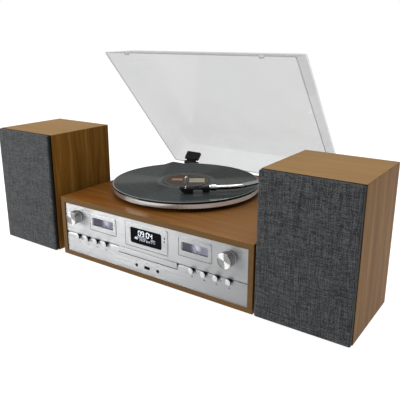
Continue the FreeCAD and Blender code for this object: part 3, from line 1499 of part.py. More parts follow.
def speaker_box():
    """A veneered box with a front board, driver holes, peg holes and a hole for its terminals."""
    body = doc.addObject("PartDesign::Body", "wooden_box")
    sketch = new_sketch(body, "XZ_Plane")
    half = d.speaker_w / 2
    draw(sketch, [(-half, 0), (half, 0), (half, d.speaker_h), (-half, d.speaker_h)])
    pad = body.newObject("PartDesign::Pad", "block")
    pad.Profile = sketch
    pad.Reversed = True
    bind(pad, Length=d.speaker_d)
    soften(body, d.speaker_edge, lambda edge: True)
    wall = d.speaker_wall
    room = box(d.speaker_w - 2 * wall, d.speaker_d - 2 * wall, d.speaker_h - 2 * wall, (0, wall, wall))
    cuts = [room]
    for hole_r, flange_r, z in ((d.woofer_hole_r, d.woofer_r, d.woofer_z),
                                (d.tweeter_hole_r, d.tweeter_r, d.tweeter_z)):
        cuts.append(rod(hole_r + d.clearance, wall + 2 * d.overrun, (0, -d.overrun, z), "y"))
        cuts.append(rod(flange_r + d.clearance, d.driver_flange_t + d.overrun, (0, -d.overrun, z), "y"))
    cuts += [rod(d.peg_r + d.slip, d.peg_len + d.overrun, (x, -d.overrun, z), "y") for x, z in peg_places()]
    cuts.append(box(d.cup_hole_w, wall + 2 * d.overrun, d.cup_hole_w,
                    (0, d.speaker_d - wall - d.overrun, d.cup_z - d.cup_hole_w / 2)))
    return carve(body, *cuts)


def grille():
    """A frame with a crossbar and four pegs, its front closed by stretched cloth."""
    width = d.speaker_w - 2 * d.grille_inset
    height = d.speaker_h - 2 * d.grille_inset
    panel = rounded_slab(width, height, d.grille_edge, d.grille_t)
    soften(panel, d.grille_edge, in_front(panel))
    place(panel, (0, 0, d.speaker_h / 2))
    inside = width - 2 * d.grille_frame_w
    low = d.grille_inset + d.grille_frame_w
    high = d.speaker_h - low
    split_low, split_high = d.grille_bar_z - d.grille_frame_w / 2, d.grille_bar_z + d.grille_frame_w / 2
    windows = [box(inside, d.grille_t, split_low - low, (0, d.grille_skin, low)),
               box(inside, d.grille_t, high - split_high, (0, d.grille_skin, split_high))]
    peg_len = d.grille_gap + d.peg_len - d.clearance
    pegs = [rod(d.peg_r, peg_len, (x, d.grille_t, z), "y") for x, z in peg_places()]
    return join(carve(panel, *windows), *pegs)


def dome_r(reach, rise):
    """The radius of a dome that rises over a reach."""
    return (reach * reach + rise * rise) / (2 * rise)


def drivers():
    """A cone driver and a dome tweeter, each with its flange and magnet."""
    flange = d.driver_flange_t
    cone_r = d.woofer_hole_r * cone_rim_share
    throat = d.woofer_dome_r
    depth = d.woofer_cone_depth
    magnet = d.woofer_depth - d.woofer_magnet_h
    woofer = [
        (0, depth - d.woofer_cap_rise),
        (throat, depth, dome_r(throat, d.woofer_cap_rise), 1),
        (cone_r, d.cone_t),
        (d.woofer_hole_r, 0, d.surround_r, 1),
        (d.woofer_r, 0),
        (d.woofer_r, flange),
        (d.woofer_hole_r, flange),
        (d.woofer_magnet_r, magnet),
        (d.woofer_magnet_r, d.woofer_depth),
        (0, d.woofer_depth),
    ]
    tweeter = [
        (0, 0),
        (d.tweeter_dome_r, d.tweeter_dome_rise, dome_r(d.tweeter_dome_r, d.tweeter_dome_rise), 1),
        (d.tweeter_r * tweeter_throat_share, 0),
        (d.tweeter_r, 0),
        (d.tweeter_r, flange),
        (d.tweeter_hole_r, flange),
        (d.tweeter_hole_r, d.tweeter_depth),
        (0, d.tweeter_depth),
    ]
    return together(turned(woofer, "y", (0, 0, d.woofer_z)), turned(tweeter, "y", (0, 0, d.tweeter_z)))


def terminal_cup():
    """A plate over the hole in the box's back, with a sunk cup and two push terminals."""
    plate = box(d.cup_w, d.cup_t, d.cup_w, (0, 0, -d.cup_w / 2))
    cup_w = d.cup_hole_w - 2 * d.clearance
    body = box(cup_w, d.cup_depth, cup_w, (0, -d.cup_depth, -cup_w / 2))
    room_w = cup_w - 2 * d.cup_wall
    room = box(room_w, d.cup_depth + d.cup_t, room_w, (0, d.cup_wall - d.cup_depth, -room_w / 2))
    clips = in_pairs(lambda s: box(d.clip_w, d.cup_depth - d.cup_wall + d.cup_t - d.clip_sink, d.clip_h,
                                   (s * d.clip_pitch / 2, d.cup_wall - d.cup_depth, -d.clip_h / 2)))
    return join(carve(join(plate, body), room), *clips)


def build_speaker(side, way, gap, y):
    """One loudspeaker beside the case: box, grille, drivers, terminals and pads."""
    x = way * (d.case_w / 2 + gap + d.speaker_w / 2)

    def at(back, up):
        return on_case(x, y + back, up)

    node(f"{side}_speaker_box", speaker_box(), at(0, 0))
    node(f"{side}_grille", grille(), at(-d.grille_gap - d.grille_t, 0))
    node(f"{side}_drivers", drivers(), at(0, 0))
    node(f"{side}_terminals", terminal_cup(), at(d.speaker_d, d.cup_z))
    reach = d.speaker_w / 2 - d.pad_inset
    pads = [rod(d.pad_r, d.foot_h, (s * reach, back, -d.foot_h))
            for s in (-1, 1) for back in (d.pad_inset, d.speaker_d - d.pad_inset)]
    node(f"{side}_speaker_pads", together(*pads), at(0, 0))


def check_and_write():
    """Stop at any failed object or bad shape, then write each piece to its own file."""
    doc.recompute()
    failed = [thing.Label for thing in doc.Objects if {"Invalid", "Error"} & set(thing.State)]
    if failed:
        raise RuntimeError("failed: " + ", ".join(failed))
    for piece in NODES:
        if piece.Shape.isNull() or not piece.Shape.isValid() or not piece.Shape.Solids:
            raise RuntimeError("bad shape: " + piece.Label)
    os.makedirs("parts", exist_ok=True)
    for piece in NODES:
        piece.Shape.exportStep(f"parts/{piece.Label}.step")
    print(len(NODES), "pieces")


build_case()
build_feet()
build_fascias()
build_display()
build_meters()
build_knobs()
build_keys()
build_disc_drive()
build_front_sockets()
build_boards()
build_rear()
build_platter()
build_drive()
build_adapter()
build_arm_base()
build_cueing()
build_yoke()
build_arm()
build_head()
build_arm_rest()
build_speed_switch()
build_dust_cover()
build_hinges()
build_speaker("left", -1, d.left_speaker_gap, d.left_speaker_y)
build_speaker("right", 1, d.right_speaker_gap, d.right_speaker_y)
check_and_write()
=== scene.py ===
"""Finishes and fine pieces for a record player with two loudspeakers, and the stage they stand on."""

import math

import bmesh
import bpy
from bpy.props import FloatProperty, FloatVectorProperty, IntProperty, PointerProperty
from bpy.types import Operator, Panel, PropertyGroup
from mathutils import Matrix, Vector


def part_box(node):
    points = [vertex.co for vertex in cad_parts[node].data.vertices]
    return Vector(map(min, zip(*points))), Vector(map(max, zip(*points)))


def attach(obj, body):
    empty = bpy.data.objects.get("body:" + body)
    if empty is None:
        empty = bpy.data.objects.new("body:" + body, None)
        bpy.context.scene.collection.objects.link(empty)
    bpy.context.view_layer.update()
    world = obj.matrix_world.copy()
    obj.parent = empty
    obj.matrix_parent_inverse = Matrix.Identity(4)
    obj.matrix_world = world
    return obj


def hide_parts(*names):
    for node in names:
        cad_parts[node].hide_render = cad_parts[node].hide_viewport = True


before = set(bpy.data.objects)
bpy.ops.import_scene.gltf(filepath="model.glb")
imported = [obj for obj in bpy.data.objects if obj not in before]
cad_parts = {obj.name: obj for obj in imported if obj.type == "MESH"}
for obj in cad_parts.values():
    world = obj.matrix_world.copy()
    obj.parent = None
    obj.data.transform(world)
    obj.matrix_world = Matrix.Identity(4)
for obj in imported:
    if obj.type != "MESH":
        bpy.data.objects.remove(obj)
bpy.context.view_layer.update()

bl_info = {
    "name": "Record player set",
    "version": (1, 0, 0),
    "blender": (4, 5, 0),
    "location": "View3D > Sidebar > Record player",
    "description": "Finishes and fine pieces for a record player with two loudspeakers",
    "category": "Object",
}

MM = 0.001
SIDES = ("left", "right")
KEYS = [f"key_{number}" for number in range(1, 9)]
PRINT_LIFT = 0.06 * MM
DIGIT_LIFT = 0.08 * MM
LID_OPENING = math.radians(49.3)
CAMERA_PLACE = (0.5821, -0.8517, 0.4296)
CAMERA_DOWN = math.radians(16.48)
CAMERA_TURN = math.radians(35.08)
CAMERA_SHIFT = (0.00625, -0.02375)


def colour(label, about, value):
    """A colour that a user may change."""
    return FloatVectorProperty(name=label, description=about, default=value, size=3,
                               min=0, max=1, subtype="COLOR")


def length(label, about, millimetres):
    """A length that a user may change."""
    return FloatProperty(name=label, description=about, default=millimetres * MM, min=0,
                         precision=5, unit="LENGTH", subtype="DISTANCE")


def share(label, about, value):
    """A part of a whole that a user may change."""
    return FloatProperty(name=label, description=about, default=value, min=0, max=1, subtype="FACTOR")


def amount(label, about, value, unit="NONE", least=0):
    """A plain number that a user may change."""
    return FloatProperty(name=label, description=about, default=value, min=least, unit=unit)


class WoodLook(PropertyGroup):
    """Walnut veneer of the case and the loudspeakers."""

    dark: colour("Dark grain", "Darkest streaks of the veneer", (0.108, 0.044, 0.008))
    mid: colour("Middle grain", "Most of the veneer", (0.175, 0.084, 0.015))
    light: colour("Light grain", "Light streaks of the veneer", (0.270, 0.150, 0.042))
    # Painted sheen: a pale colour mixed into the tops, more towards the right, for the sheen of light on
    # them.
    pale: colour("Pale", "Worn veneer of the tops", (0.33, 0.235, 0.130))
    front: colour("Front", "Front edges of the case", (0.105, 0.082, 0.034))
    # Painted shade: a darker, redder tint multiplied over the case's veneer, for the dimmer, reddened light
    # on it.
    stain: colour("Case stain", "Stain over the veneer of the case", (0.88, 0.68, 0.50))
    edge: length("Edge rounding", "Width of the rounded edges of the boards", 0.8)


class MetalLook(PropertyGroup):
    """Panel, trim and turned metal."""

    panel: colour("Panel", "Brushed front panel", (0.375, 0.38, 0.385))
    trim: colour("Trim", "Frames, keys and knobs", (0.82, 0.82, 0.81))
    steel: colour("Steel", "Spindle, bearing and screws", (0.56, 0.56, 0.55))
    side: colour("Knob side", "Ridged sides of the knobs", (0.60, 0.60, 0.61))
    chrome: colour("Chrome", "Tube of the tonearm", (0.94, 0.94, 0.95))
    brass: colour("Brass", "Pulley of the motor", (0.72, 0.50, 0.20))
    teeth: IntProperty(name="Knob teeth", description="Ridges round a knob", default=96, min=12)
    tooth: length("Tooth depth", "Depth of the ridges round a knob", 0.28)


class ClothLook(PropertyGroup):
    """Cloth over the loudspeakers' fronts."""

    dark: colour("Dark thread", "Dark threads of the cloth", (0.010, 0.0105, 0.012))
    light: colour("Light thread", "Light threads of the cloth", (0.102, 0.106, 0.108))
    pitch: length("Thread pitch", "Distance between threads", 1.1)
    proud: length("Proud", "How far the cloth stands off its frame", 0.35)
    bend: length("Edge bend", "Radius of the bend at the frame's edge", 2.5)
    tuck: length("Tuck", "Depth of cloth down the side of the frame", 4)


class DisplayLook(PropertyGroup):
    """Display and level meters."""

    lit: colour("Digits", "Lit digits", (0.86, 0.93, 1.0))
    glow: colour("Meter glow", "Lamp behind the level meters", (0.27, 0.265, 0.32))
    face: colour("Meter face", "Unlit face of the level meters", (0.085, 0.080, 0.100))
    print_ink: colour("Print", "Small print on the panel", (0.030, 0.030, 0.033))
    digit: length("Digit height", "Height of the clock's digits", 9.6)


class RecordLook(PropertyGroup):
    """Record and its label."""

    vinyl: colour("Vinyl", "Pressed record", (0.026, 0.032, 0.032))
    sheen: colour("Sheen", "Bright fans and run-out of the record", (0.075, 0.080, 0.077))
    shadow: colour("Shadow", "Dark fans of the record", (0.005, 0.009, 0.009))
    label: colour("Label", "Ground of the label", (0.045, 0.037, 0.033))
    patch: colour("Patch", "Warm patch on the label", (0.42, 0.17, 0.055))
    stripe: colour("Stripe", "Pale stripes on the label", (0.62, 0.55, 0.42))


class PlasticLook(PropertyGroup):
    """Moulded and clear plastics."""

    black: colour("Black", "Black moulded plastic", (0.006, 0.006, 0.0065))
    rubber: colour("Rubber", "Rubber feet, mat and belt", (0.014, 0.014, 0.014))
    clear: colour("Clear", "Clear dust cover", (0.30, 0.31, 0.32))
    haze: share("Haze", "How much of the view each face of the cover takes", 0.21)
    board: colour("Board", "Circuit boards", (0.012, 0.085, 0.035))


class StageLook(PropertyGroup):
    """Floor, light and camera."""

    floor: colour("Floor", "Pale floor", (0.25, 0.25, 0.25))
    glow: amount("Floor glow", "Light from below the floor", 0.92)
    sky: amount("Room light", "Light from all round", 0.30)
    key: amount("Key light", "Power of the large lamp", 55, "POWER")
    top: amount("Top light", "Power of the lamp above", 42, "POWER")
    side: amount("Side light", "Power of the side lamp", 5, "POWER")
    lens: amount("Lens", "Focal length of the camera", 46.82, least=1)


class SetLook(PropertyGroup):
    """All the looks of the set."""

    wood: PointerProperty(type=WoodLook)
    metal: PointerProperty(type=MetalLook)
    cloth: PointerProperty(type=ClothLook)
    display: PointerProperty(type=DisplayLook)
    record: PointerProperty(type=RecordLook)
    plastic: PointerProperty(type=PlasticLook)
    stage: PointerProperty(type=StageLook)


def scaled(tint, share_of_tint, lift=0.0):
    """A colour made darker or brighter."""
    return [part * share_of_tint + lift for part in tint]


def plug(tree, socket, value):
    """Links a wire to a socket, or sets the socket to a plain value."""
    if isinstance(value, Wire):
        tree.links.new(value.socket, socket)
    elif socket.type == "RGBA":
        socket.default_value = (*value[:3], 1)
    else:
        socket.default_value = value


class Wire:
    """A shader value that takes part in sums."""

    def __init__(self, tree, socket):
        self.tree = tree
        self.socket = socket

    def sum(self, operation, first, second=0.0):
        node = self.tree.nodes.new("ShaderNodeMath")
        node.operation = operation
        plug(self.tree, node.inputs[0], first)
        plug(self.tree, node.inputs[1], second)
        return Wire(self.tree, node.outputs[0])

    def __add__(self, other):
        return self.sum("ADD", self, other)

    def __radd__(self, other):
        return self.sum("ADD", other, self)

    def __sub__(self, other):
        return self.sum("SUBTRACT", self, other)

    def __rsub__(self, other):
        return self.sum("SUBTRACT", other, self)

    def __mul__(self, other):
        return self.sum("MULTIPLY", self, other)

    def __truediv__(self, other):
        return self.sum("DIVIDE", self, other)

    def __pow__(self, other):
        return self.sum("POWER", self, other)

    def __gt__(self, other):
        return self.sum("GREATER_THAN", self, other)

    def __lt__(self, other):
        return self.sum("LESS_THAN", self, other)

    def __mod__(self, other):
        return self.sum("FLOORED_MODULO", self, other)

    def __abs__(self):
        return self.sum("ABSOLUTE", self)

    def __floor__(self):
        return self.sum("FLOOR", self)

    def wave(self):
        return self.sum("SINE", self)

    def larger(self, other):
        return self.sum("MAXIMUM", self, other)


class Finish:
    """A material and the nodes that its look is worked out with. Lengths in it are millimetres."""

    def __init__(self, name, sockets):
        self.material = bpy.data.materials.new(name)
        self.material.use_nodes = True
        self.tree = self.material.node_tree
        self.shader = self.tree.nodes["Principled BSDF"]
        self.give(sockets)

    def give(self, sockets):
        """Sets or links sockets of the surface shader."""
        for key, value in sockets.items():
            plug(self.tree, self.shader.inputs[key], value)
        return self.material

    def add(self, kind, settings, sockets, output=0):
        """Adds a node with its settings, then its sockets, and gives one of its outputs."""
        node = self.tree.nodes.new("ShaderNode" + kind)
        for key, value in settings.items():
            setattr(node, key, value)
        for key, value in sockets.items():
            plug(self.tree, node.inputs[key], value)
        return Wire(self.tree, node.outputs[output])

    def split(self, vector):
        """The three parts of a vector."""
        first = self.add("SeparateXYZ", {}, {0: vector})
        return [Wire(self.tree, socket) for socket in first.socket.node.outputs]

    def join(self, x, y, z):
        return self.add("CombineXYZ", {}, {0: x, 1: y, 2: z})

    def spot(self):
        """The place on the piece, as three lengths."""
        place = self.add("TexCoord", {}, {}, "Object")
        return self.split(self.add("VectorMath", {"operation": "SCALE"}, {0: place, "Scale": 1 / MM}))

    def facing(self):
        """The way that the surface faces, on the piece's own axes."""
        return self.split(self.add("TexCoord", {}, {}, "Normal"))

    def noise(self, x, y, z, detail=2.0, roughness=0.5):
        """Soft noise whose spots are about one unit wide."""
        return self.add("TexNoise", {}, {"Vector": self.join(x, y, z), "Scale": 1.0,
                                         "Detail": detail, "Roughness": roughness})

    def chance(self, *parts):
        """A number from 0 to 1 for each whole place."""
        x, y, z = (*parts, 0.0, 0.0)[:3]
        return self.add("TexWhiteNoise", {"noise_dimensions": "3D"}, {"Vector": self.join(x, y, z)})

    def fade(self, value, low, high):
        """0 below low, 1 above high and smooth between them."""
        settings = {"interpolation_type": "SMOOTHSTEP"}
        return self.add("MapRange", settings, {"Value": value, "From Min": low, "From Max": high})

    def mix(self, share_of_second, first, second):
        """One colour changing to another."""
        return self.add("Mix", {"data_type": "RGBA"}, {0: share_of_second, 6: first, 7: second}, 2)

    def bump(self, height, depth):
        """A normal from a height, in millimetres of depth."""
        return self.add("Bump", {}, {"Height": height, "Distance": depth * MM, "Strength": 1.0})

    def lean(self, x, y, z):
        """The normal leant by a vector on the piece's own axes."""
        leant = self.add("VectorTransform", {"vector_type": "VECTOR", "convert_from": "OBJECT",
                                             "convert_to": "WORLD"}, {0: self.join(x, y, z)})
        normal = self.add("NewGeometry", {}, {}, "Normal")
        total = self.add("VectorMath", {"operation": "ADD"}, {0: normal, 1: leant})
        return self.add("VectorMath", {"operation": "NORMALIZE"}, {0: total})

    def around(self, first, second, centre):
        """Two lengths measured from a centre, and the distance from it."""
        across, up = first - centre[0] / MM, second - centre[1] / MM
        return across, up, (across * across + up * up) ** 0.5

    def rings(self, across, up, radius, lines, depth):
        """The lean of a surface turned on a lathe, as shares along two axes."""
        tool = (self.chance(math.floor(radius * lines)) - 0.5) * depth
        return across / radius * tool, up / radius * tool


def walnut(name, look, gloss, stain, sheen_from, front_tint, front_share):
    """Walnut veneer: grain along the boards and up their sides, with a painted sheen on the top, a darker
    front, and a tint multiplied over all, which on the case is painted shade.
    """
    wood = Finish(name, {"Specular IOR Level": gloss})
    x, y, z = wood.spot()
    side, back, up = wood.facing()
    upright = abs(side) > 0.7
    along = x * (1 - upright) + z * upright
    across = y + z * (1 - upright)
    wander = wood.noise(along * 0.008, across * 0.02, upright * 7, 1) * 16
    figure = wood.noise(along * 0.004, (across + wander) * 0.07, upright * 3, 4, 0.6)
    streak = wood.noise(along * 0.010, (across + wander) * 0.42, upright * 5, 3, 0.6)
    fibre = wood.noise(along * 0.08, across * 2.6, upright * 11, 2, 0.6)
    pore = wood.fade(wood.noise(along * 0.10, across * 3.4, upright * 13, 1), 0.60, 0.74)
    tone = figure * 0.62 + streak * 0.38
    tint = wood.mix(wood.fade(tone, 0.28, 0.56), look.dark, look.mid)
    tint = wood.mix(wood.fade(tone, 0.48, 0.70), tint, look.light)
    tint = wood.mix((fibre - 0.5) * 0.6 + 0.10, tint, look.dark)
    tint = wood.mix(pore * 0.35, tint, look.dark)
    # Painted sheen: the tops turn towards a pale colour, more towards the right.
    tint = wood.mix((up > 0.7) * wood.fade(x, sheen_from, sheen_from + 260) * 0.5, tint, look.pale)
    tint = wood.mix((back < -0.7) * front_share, tint, front_tint)
    # Painted shade: the veneer is multiplied by a tint, which is darker and redder on the case.
    tint = wood.add("Mix", {"data_type": "RGBA", "blend_type": "MULTIPLY"}, {0: 1.0, 6: tint, 7: stain}, 2)
    return wood.give({"Base Color": tint, "Roughness": 0.32 + fibre * 0.16,
                      "Normal": wood.bump(fibre - pore * 1.4, 0.012)})


def brushed(name, tint, roughness, amount, painted_light_ends=0.0):
    """Metal brushed from side to side, so that light spreads up and down it, with painted shade darkening it
    towards the right, and perhaps ends painted pale and matt as painted light.
    """
    metal = Finish(name, {})
    x, y, z = metal.spot()
    # Painted light: faces that point sideways turn pale and matt, so that they show as light lines.
    end = (abs(metal.facing()[0]) > 0.6) * painted_light_ends
    hair = metal.noise(x * 0.03, y * 2, z * 11, 2)
    cloud = metal.noise(x * 0.02, y * 0.02, z * 0.05, 2)
    line = metal.chance(math.floor(z * 40), math.floor(x * 0.05 + hair * 3))
    shade = metal.mix(hair * 0.35 + cloud * 0.15, tint, scaled(tint, 0.80))
    # Painted shade: the metal grows darker towards the right, where it reflects less light.
    shade = metal.mix(metal.fade(x, -40, 230) * 0.4, shade, scaled(tint, 0.45))
    shade = metal.mix(end, shade, (0.8, 0.8, 0.8))
    return metal.give({"Base Color": shade, "Roughness": roughness + hair * 0.12, "Metallic": 1 - end,
                       "Normal": metal.lean(0.0, 0.0, (line - 0.5) * amount)})


def polished(name, tint, roughness):
    """Plated or polished metal with faint wipe marks."""
    metal = Finish(name, {"Metallic": 1.0})
    x, y, z = metal.spot()
    wipe = metal.noise(x * 0.06, y * 0.05, z * 0.3, 3)
    fine = metal.noise(x * 1.5, y * 1.5, z * 1.5, 2)
    shade = metal.mix(wipe * 0.25, tint, scaled(tint, 0.86))
    return metal.give({"Base Color": shade, "Roughness": roughness + wipe * 0.08 + fine * 0.03})


def chrome(look, black):
    """Chrome plate with painted shade that darkens it underneath."""
    metal = Finish("arm_chrome", {"Metallic": 1.0})
    x, y, z = metal.spot()
    wipe = metal.noise(x * 0.06, y * 0.05, z * 0.3, 3)
    # Painted shade: faces that point down turn black.
    under = 1 - metal.fade(metal.facing()[2], 0.0, 0.35)
    shade = metal.mix(wipe * 0.2, look.chrome, scaled(look.chrome, 0.9))
    return metal.give({"Base Color": metal.mix(under, shade, black), "Roughness": 0.10 + wipe * 0.06})


def capped(name, cap_tint, painted_shade_body_tint, seam):
    """A bright metal cap on a body painted as dark plastic, which is painted shade on the sides, with the
    seam between them at a depth.
    """
    both = Finish(name, {})
    x, y, z = both.spot()
    cap = y < seam / MM
    wipe = both.noise(x * 0.3, y * 0.3, z * 0.3, 3)
    shade = both.mix(wipe * 0.3, cap_tint, scaled(cap_tint, 0.8))
    # Painted shade: behind the seam the key is dark.
    return both.give({"Base Color": both.mix(cap, painted_shade_body_tint, shade), "Metallic": cap,
                      "Roughness": 0.45 - cap * 0.2 + wipe * 0.08})


def knob_metal(name, look, middle, seam):
    """Turned metal with a fan of light across its face, and plainer ridged sides behind a seam."""
    metal = Finish(name, {"Metallic": 1.0})
    x, y, z = metal.spot()
    across, up, radius = metal.around(x, z, middle.xz)
    lean_x, lean_z = metal.rings(across, up, radius, 14, 0.5)
    # Painted highlight: a bright fan across the face, with the rest of the face painted darker.
    fan = metal.fade(abs(across * 0.62 - up * 0.78) / radius, 0.72, 0.98)
    ring = metal.noise(radius * 3, 0.0, 0.0, 2)
    shade = metal.mix(fan, scaled(look.trim, 0.30), scaled(look.trim, 0.85))
    shade = metal.mix(metal.fade(y, seam / MM, seam / MM + 0.4), shade, look.side)
    return metal.give({"Base Color": shade, "Roughness": 0.22 + ring * 0.1,
                       "Normal": metal.lean(lean_x, 0.0, lean_z)})


def moulded(name, tint, roughness):
    """Moulded plastic with a fine spark-eroded grain."""
    plastic = Finish(name, {"Specular IOR Level": 0.18})
    x, y, z = plastic.spot()
    pit = plastic.noise(x * 3, y * 3, z * 3, 3, 0.6)
    cloud = plastic.noise(x * 0.05, y * 0.05, z * 0.05, 2)
    shade = plastic.mix(cloud * 0.3, tint, scaled(tint, 1.5, 0.004))
    return plastic.give({"Base Color": shade, "Roughness": roughness + pit * 0.14,
                         "Normal": plastic.bump(pit, 0.01)})


def rubber(name, tint, centre=None):
    """Matt rubber, with fine moulded rings where a centre is given."""
    gum = Finish(name, {"Specular IOR Level": 0.25})
    x, y, z = gum.spot()
    grain = gum.noise(x * 2, y * 2, z * 2, 3, 0.65)
    height = grain * 0.3
    if centre:
        radius = gum.around(x, y, centre.xy)[2]
        height = height + (radius * 1.6).wave() * 0.5
    shade = gum.mix(grain * 0.5, tint, scaled(tint, 2.2, 0.006))
    return gum.give({"Base Color": shade, "Roughness": 0.62 + grain * 0.2, "Normal": gum.bump(height, 0.2)})


def vinyl(look, centre):
    """Pressed vinyl: rings of groove that spread light outwards, with smooth gaps between tracks, and
    painted sheen, painted shade and a painted edge highlight.
    """
    disc = Finish("vinyl_black", {"Specular IOR Level": 0.06, "Coat Weight": 0.5, "Coat Roughness": 0.07})
    x, y = disc.spot()[:2]
    across, up, radius = disc.around(x, y, centre.xy)
    lean_x, lean_y = disc.rings(across, up, radius, 9, 0.9)
    gap = 0.0
    for track, width in ((68, 0.7), (86.5, 0.9), (103, 0.8), (117.5, 0.8), (134, 0.9)):
        gap = (1 - disc.fade(abs(radius - track), width * 0.5, width)).larger(gap)
    blank = disc.fade(radius, 144, 146).larger(1 - disc.fade(radius, 58.5, 60.5))
    smooth = blank.larger(gap)
    loud = disc.noise(radius * 0.35, 0.0, 0.0, 3, 0.7)
    shade = disc.mix(loud * 0.4, look.vinyl, scaled(look.vinyl, 1.6))
    # Painted shade and painted sheen: a dark fan and a bright fan across the record.
    for angle, near, wide, tint in ((70, 0.99, 0.86, look.shadow), (27, 1.0, 0.93, look.sheen)):
        way = math.radians(angle)
        lobe = disc.fade(abs(across * math.cos(way) + up * math.sin(way)) / radius, wide, near)
        shade = disc.mix(lobe * 0.8, shade, tint)
    # Painted sheen on the run-out round the label.
    shade = disc.mix((1 - disc.fade(radius, 60.5, 61.5)) * 0.6, shade, look.sheen)
    # Painted highlight along the record's outer edge.
    painted_edge_highlight = disc.fade(radius, 148.6, 149.4) * (disc.facing()[2] > 0.3)
    shade = disc.mix(painted_edge_highlight, shade, scaled(look.sheen, 4))
    groove = 1 - smooth * 0.85
    return disc.give({"Base Color": shade, "Roughness": 0.30 - smooth * 0.14 + loud * 0.1,
                      "Normal": disc.lean(lean_x * groove, lean_y * groove, 0.0)})


def platter_alloy(tint, black, seam):
    """Turned alloy whose rim is bright below a seam, with painted shadow in black above it and a painted
    pale sheen on its right side.
    """
    alloy = Finish("platter_alloy", {})
    x, y, z = alloy.spot()
    side, back = alloy.facing()[:2]
    line = alloy.noise(x * 0.02, y * 0.02, z * 6, 2)
    # Painted shadow: black above the seam, as under the record's edge.
    dark = alloy.fade(z, seam / MM - 0.2, seam / MM + 0.2)
    # Painted sheen: the right side turns pale and matt.
    painted_right_sheen = alloy.fade(side * 0.98 - back * 0.19, 0.60, 0.92)
    shade = alloy.mix(line * 0.4, tint, scaled(tint, 0.8))
    shade = alloy.mix(painted_right_sheen, shade, (0.92, 0.93, 0.95))
    return alloy.give({"Base Color": alloy.mix(dark, shade, black),
                       "Metallic": (1 - dark) * (0.85 - painted_right_sheen * 0.7),
                       "Roughness": 0.12 + line * 0.08 + painted_right_sheen * 0.3})


def printed_label(look, centre):
    """Printed paper: a warm patch, pale stripes and a thin ring on a dark ground."""
    paper = Finish("record_label_print", {"Specular IOR Level": 0.3})
    x, y, z = paper.spot()
    across, up, radius = paper.around(x, y, centre.xy)
    along, aside = across * 0.82 + up * 0.57, up * 0.82 - across * 0.57
    patch = (along > -30) * (along < -8) * (aside > -2) * (aside < 13)
    stripes = ((aside + 40) % 8 < 4.2) * (aside > -16) * (aside < 14) * (along > 6) * (along < 38)
    ring = (abs(radius - 44.5) < 0.5).larger(abs(radius - 12) < 0.4)
    grain = paper.noise(x * 4, y * 4, z, 3)
    tint = paper.mix(patch, look.label, look.patch)
    tint = paper.mix(stripes.larger(ring * 0.3), tint, look.stripe)
    tint = paper.mix(grain * 0.25, tint, look.label)
    return paper.give({"Base Color": tint, "Roughness": 0.38 + grain * 0.2,
                       "Normal": paper.bump(grain, 0.02)})


def woven(name, look, fold):
    """Woven cloth of flecked threads that pass over and under each other, in shadow behind its fold."""
    cloth = Finish(name, {"Specular IOR Level": 0.15, "Sheen Weight": 0.12, "Sheen Roughness": 0.5})
    x, y, z = cloth.spot()
    pitch = look.pitch / MM
    across, up = (x + y) / pitch, (z + y) / pitch
    column, row = math.floor(across), math.floor(up)
    over = (column + row) % 2
    warp = cloth.chance(column, math.floor(up * 0.07 + cloth.chance(column, 0.5)))
    weft = cloth.chance(math.floor(across * 0.09 + cloth.chance(row, 7.5)), row, 3.0)
    fleck = (warp * over + weft * (1 - over)) * 0.6 + cloth.chance(column, row, 9.0) * 0.4
    slub = cloth.noise(across * 0.05, up * 0.5, 3.0, 2)
    hill = ((across % 1) * math.pi).wave() * ((up % 1) * math.pi).wave()
    tone = cloth.fade(fleck + slub * 0.15, 0.36, 0.92)
    tint = cloth.mix(tone * (0.45 + hill * 0.55), look.dark, look.light)
    tint = cloth.mix(cloth.fade(y, fold / MM, fold / MM + 1), tint, (0.002, 0.002, 0.002))
    return cloth.give({"Base Color": tint, "Roughness": 0.78 + tone * 0.15,
                       "Normal": cloth.bump(hill + fleck * 0.4, 0.16)})


def clear_acrylic(look, hinge, tilt):
    """Clear acrylic whose edges and glancing faces show more than its broad faces, with painted shade on its
    rim and painted light on its right wall.
    """
    clear = Finish("clear_acrylic", {"Specular IOR Level": 0.5})
    x, y, z = clear.spot()
    glance = clear.add("LayerWeight", {}, {"Blend": 0.35}, "Facing")
    smear = clear.noise(x * 0.02, y * 0.02, z * 0.02, 3)
    hair = clear.noise(x * 0.5, y * 0.05, z * 0.06, 2)
    height = (y - hinge.y / MM) * math.sin(tilt) + (z - hinge.z / MM) * math.cos(tilt)
    reach = (z - hinge.z / MM) * math.sin(tilt) - (y - hinge.y / MM) * math.cos(tilt)
    # Painted shade: the rim shows denser, as the edges of clear acrylic look dark.
    rim = 1 - clear.fade(height, 0.6, 2.0)
    # Painted light: the right wall shows less, so that it looks lighter.
    painted_light_wall = (abs(clear.facing()[0]) > 0.7) * (x > 0.0)
    low = (1 - clear.fade(reach, 30, 260)) * 0.06
    cover = look.haze + low + glance * glance * 0.15 + smear * 0.03 + rim * 0.3 - painted_light_wall * 0.13
    return clear.give({"Base Color": look.clear, "Alpha": cover,
                       "Roughness": 0.05 + smear * 0.05 + hair * 0.02})


def lens_glass():
    """Thin clear lens over a meter."""
    glass = Finish("meter_lens", {"Base Color": (0.02, 0.02, 0.03), "Specular IOR Level": 0.6})
    x, y, z = glass.spot()
    smear = glass.noise(x * 0.08, y, z * 0.08, 2)
    glance = glass.add("LayerWeight", {}, {"Blend": 0.3}, "Facing")
    return glass.give({"Roughness": 0.04 + smear * 0.06, "Alpha": 0.10 + glance * 0.35})


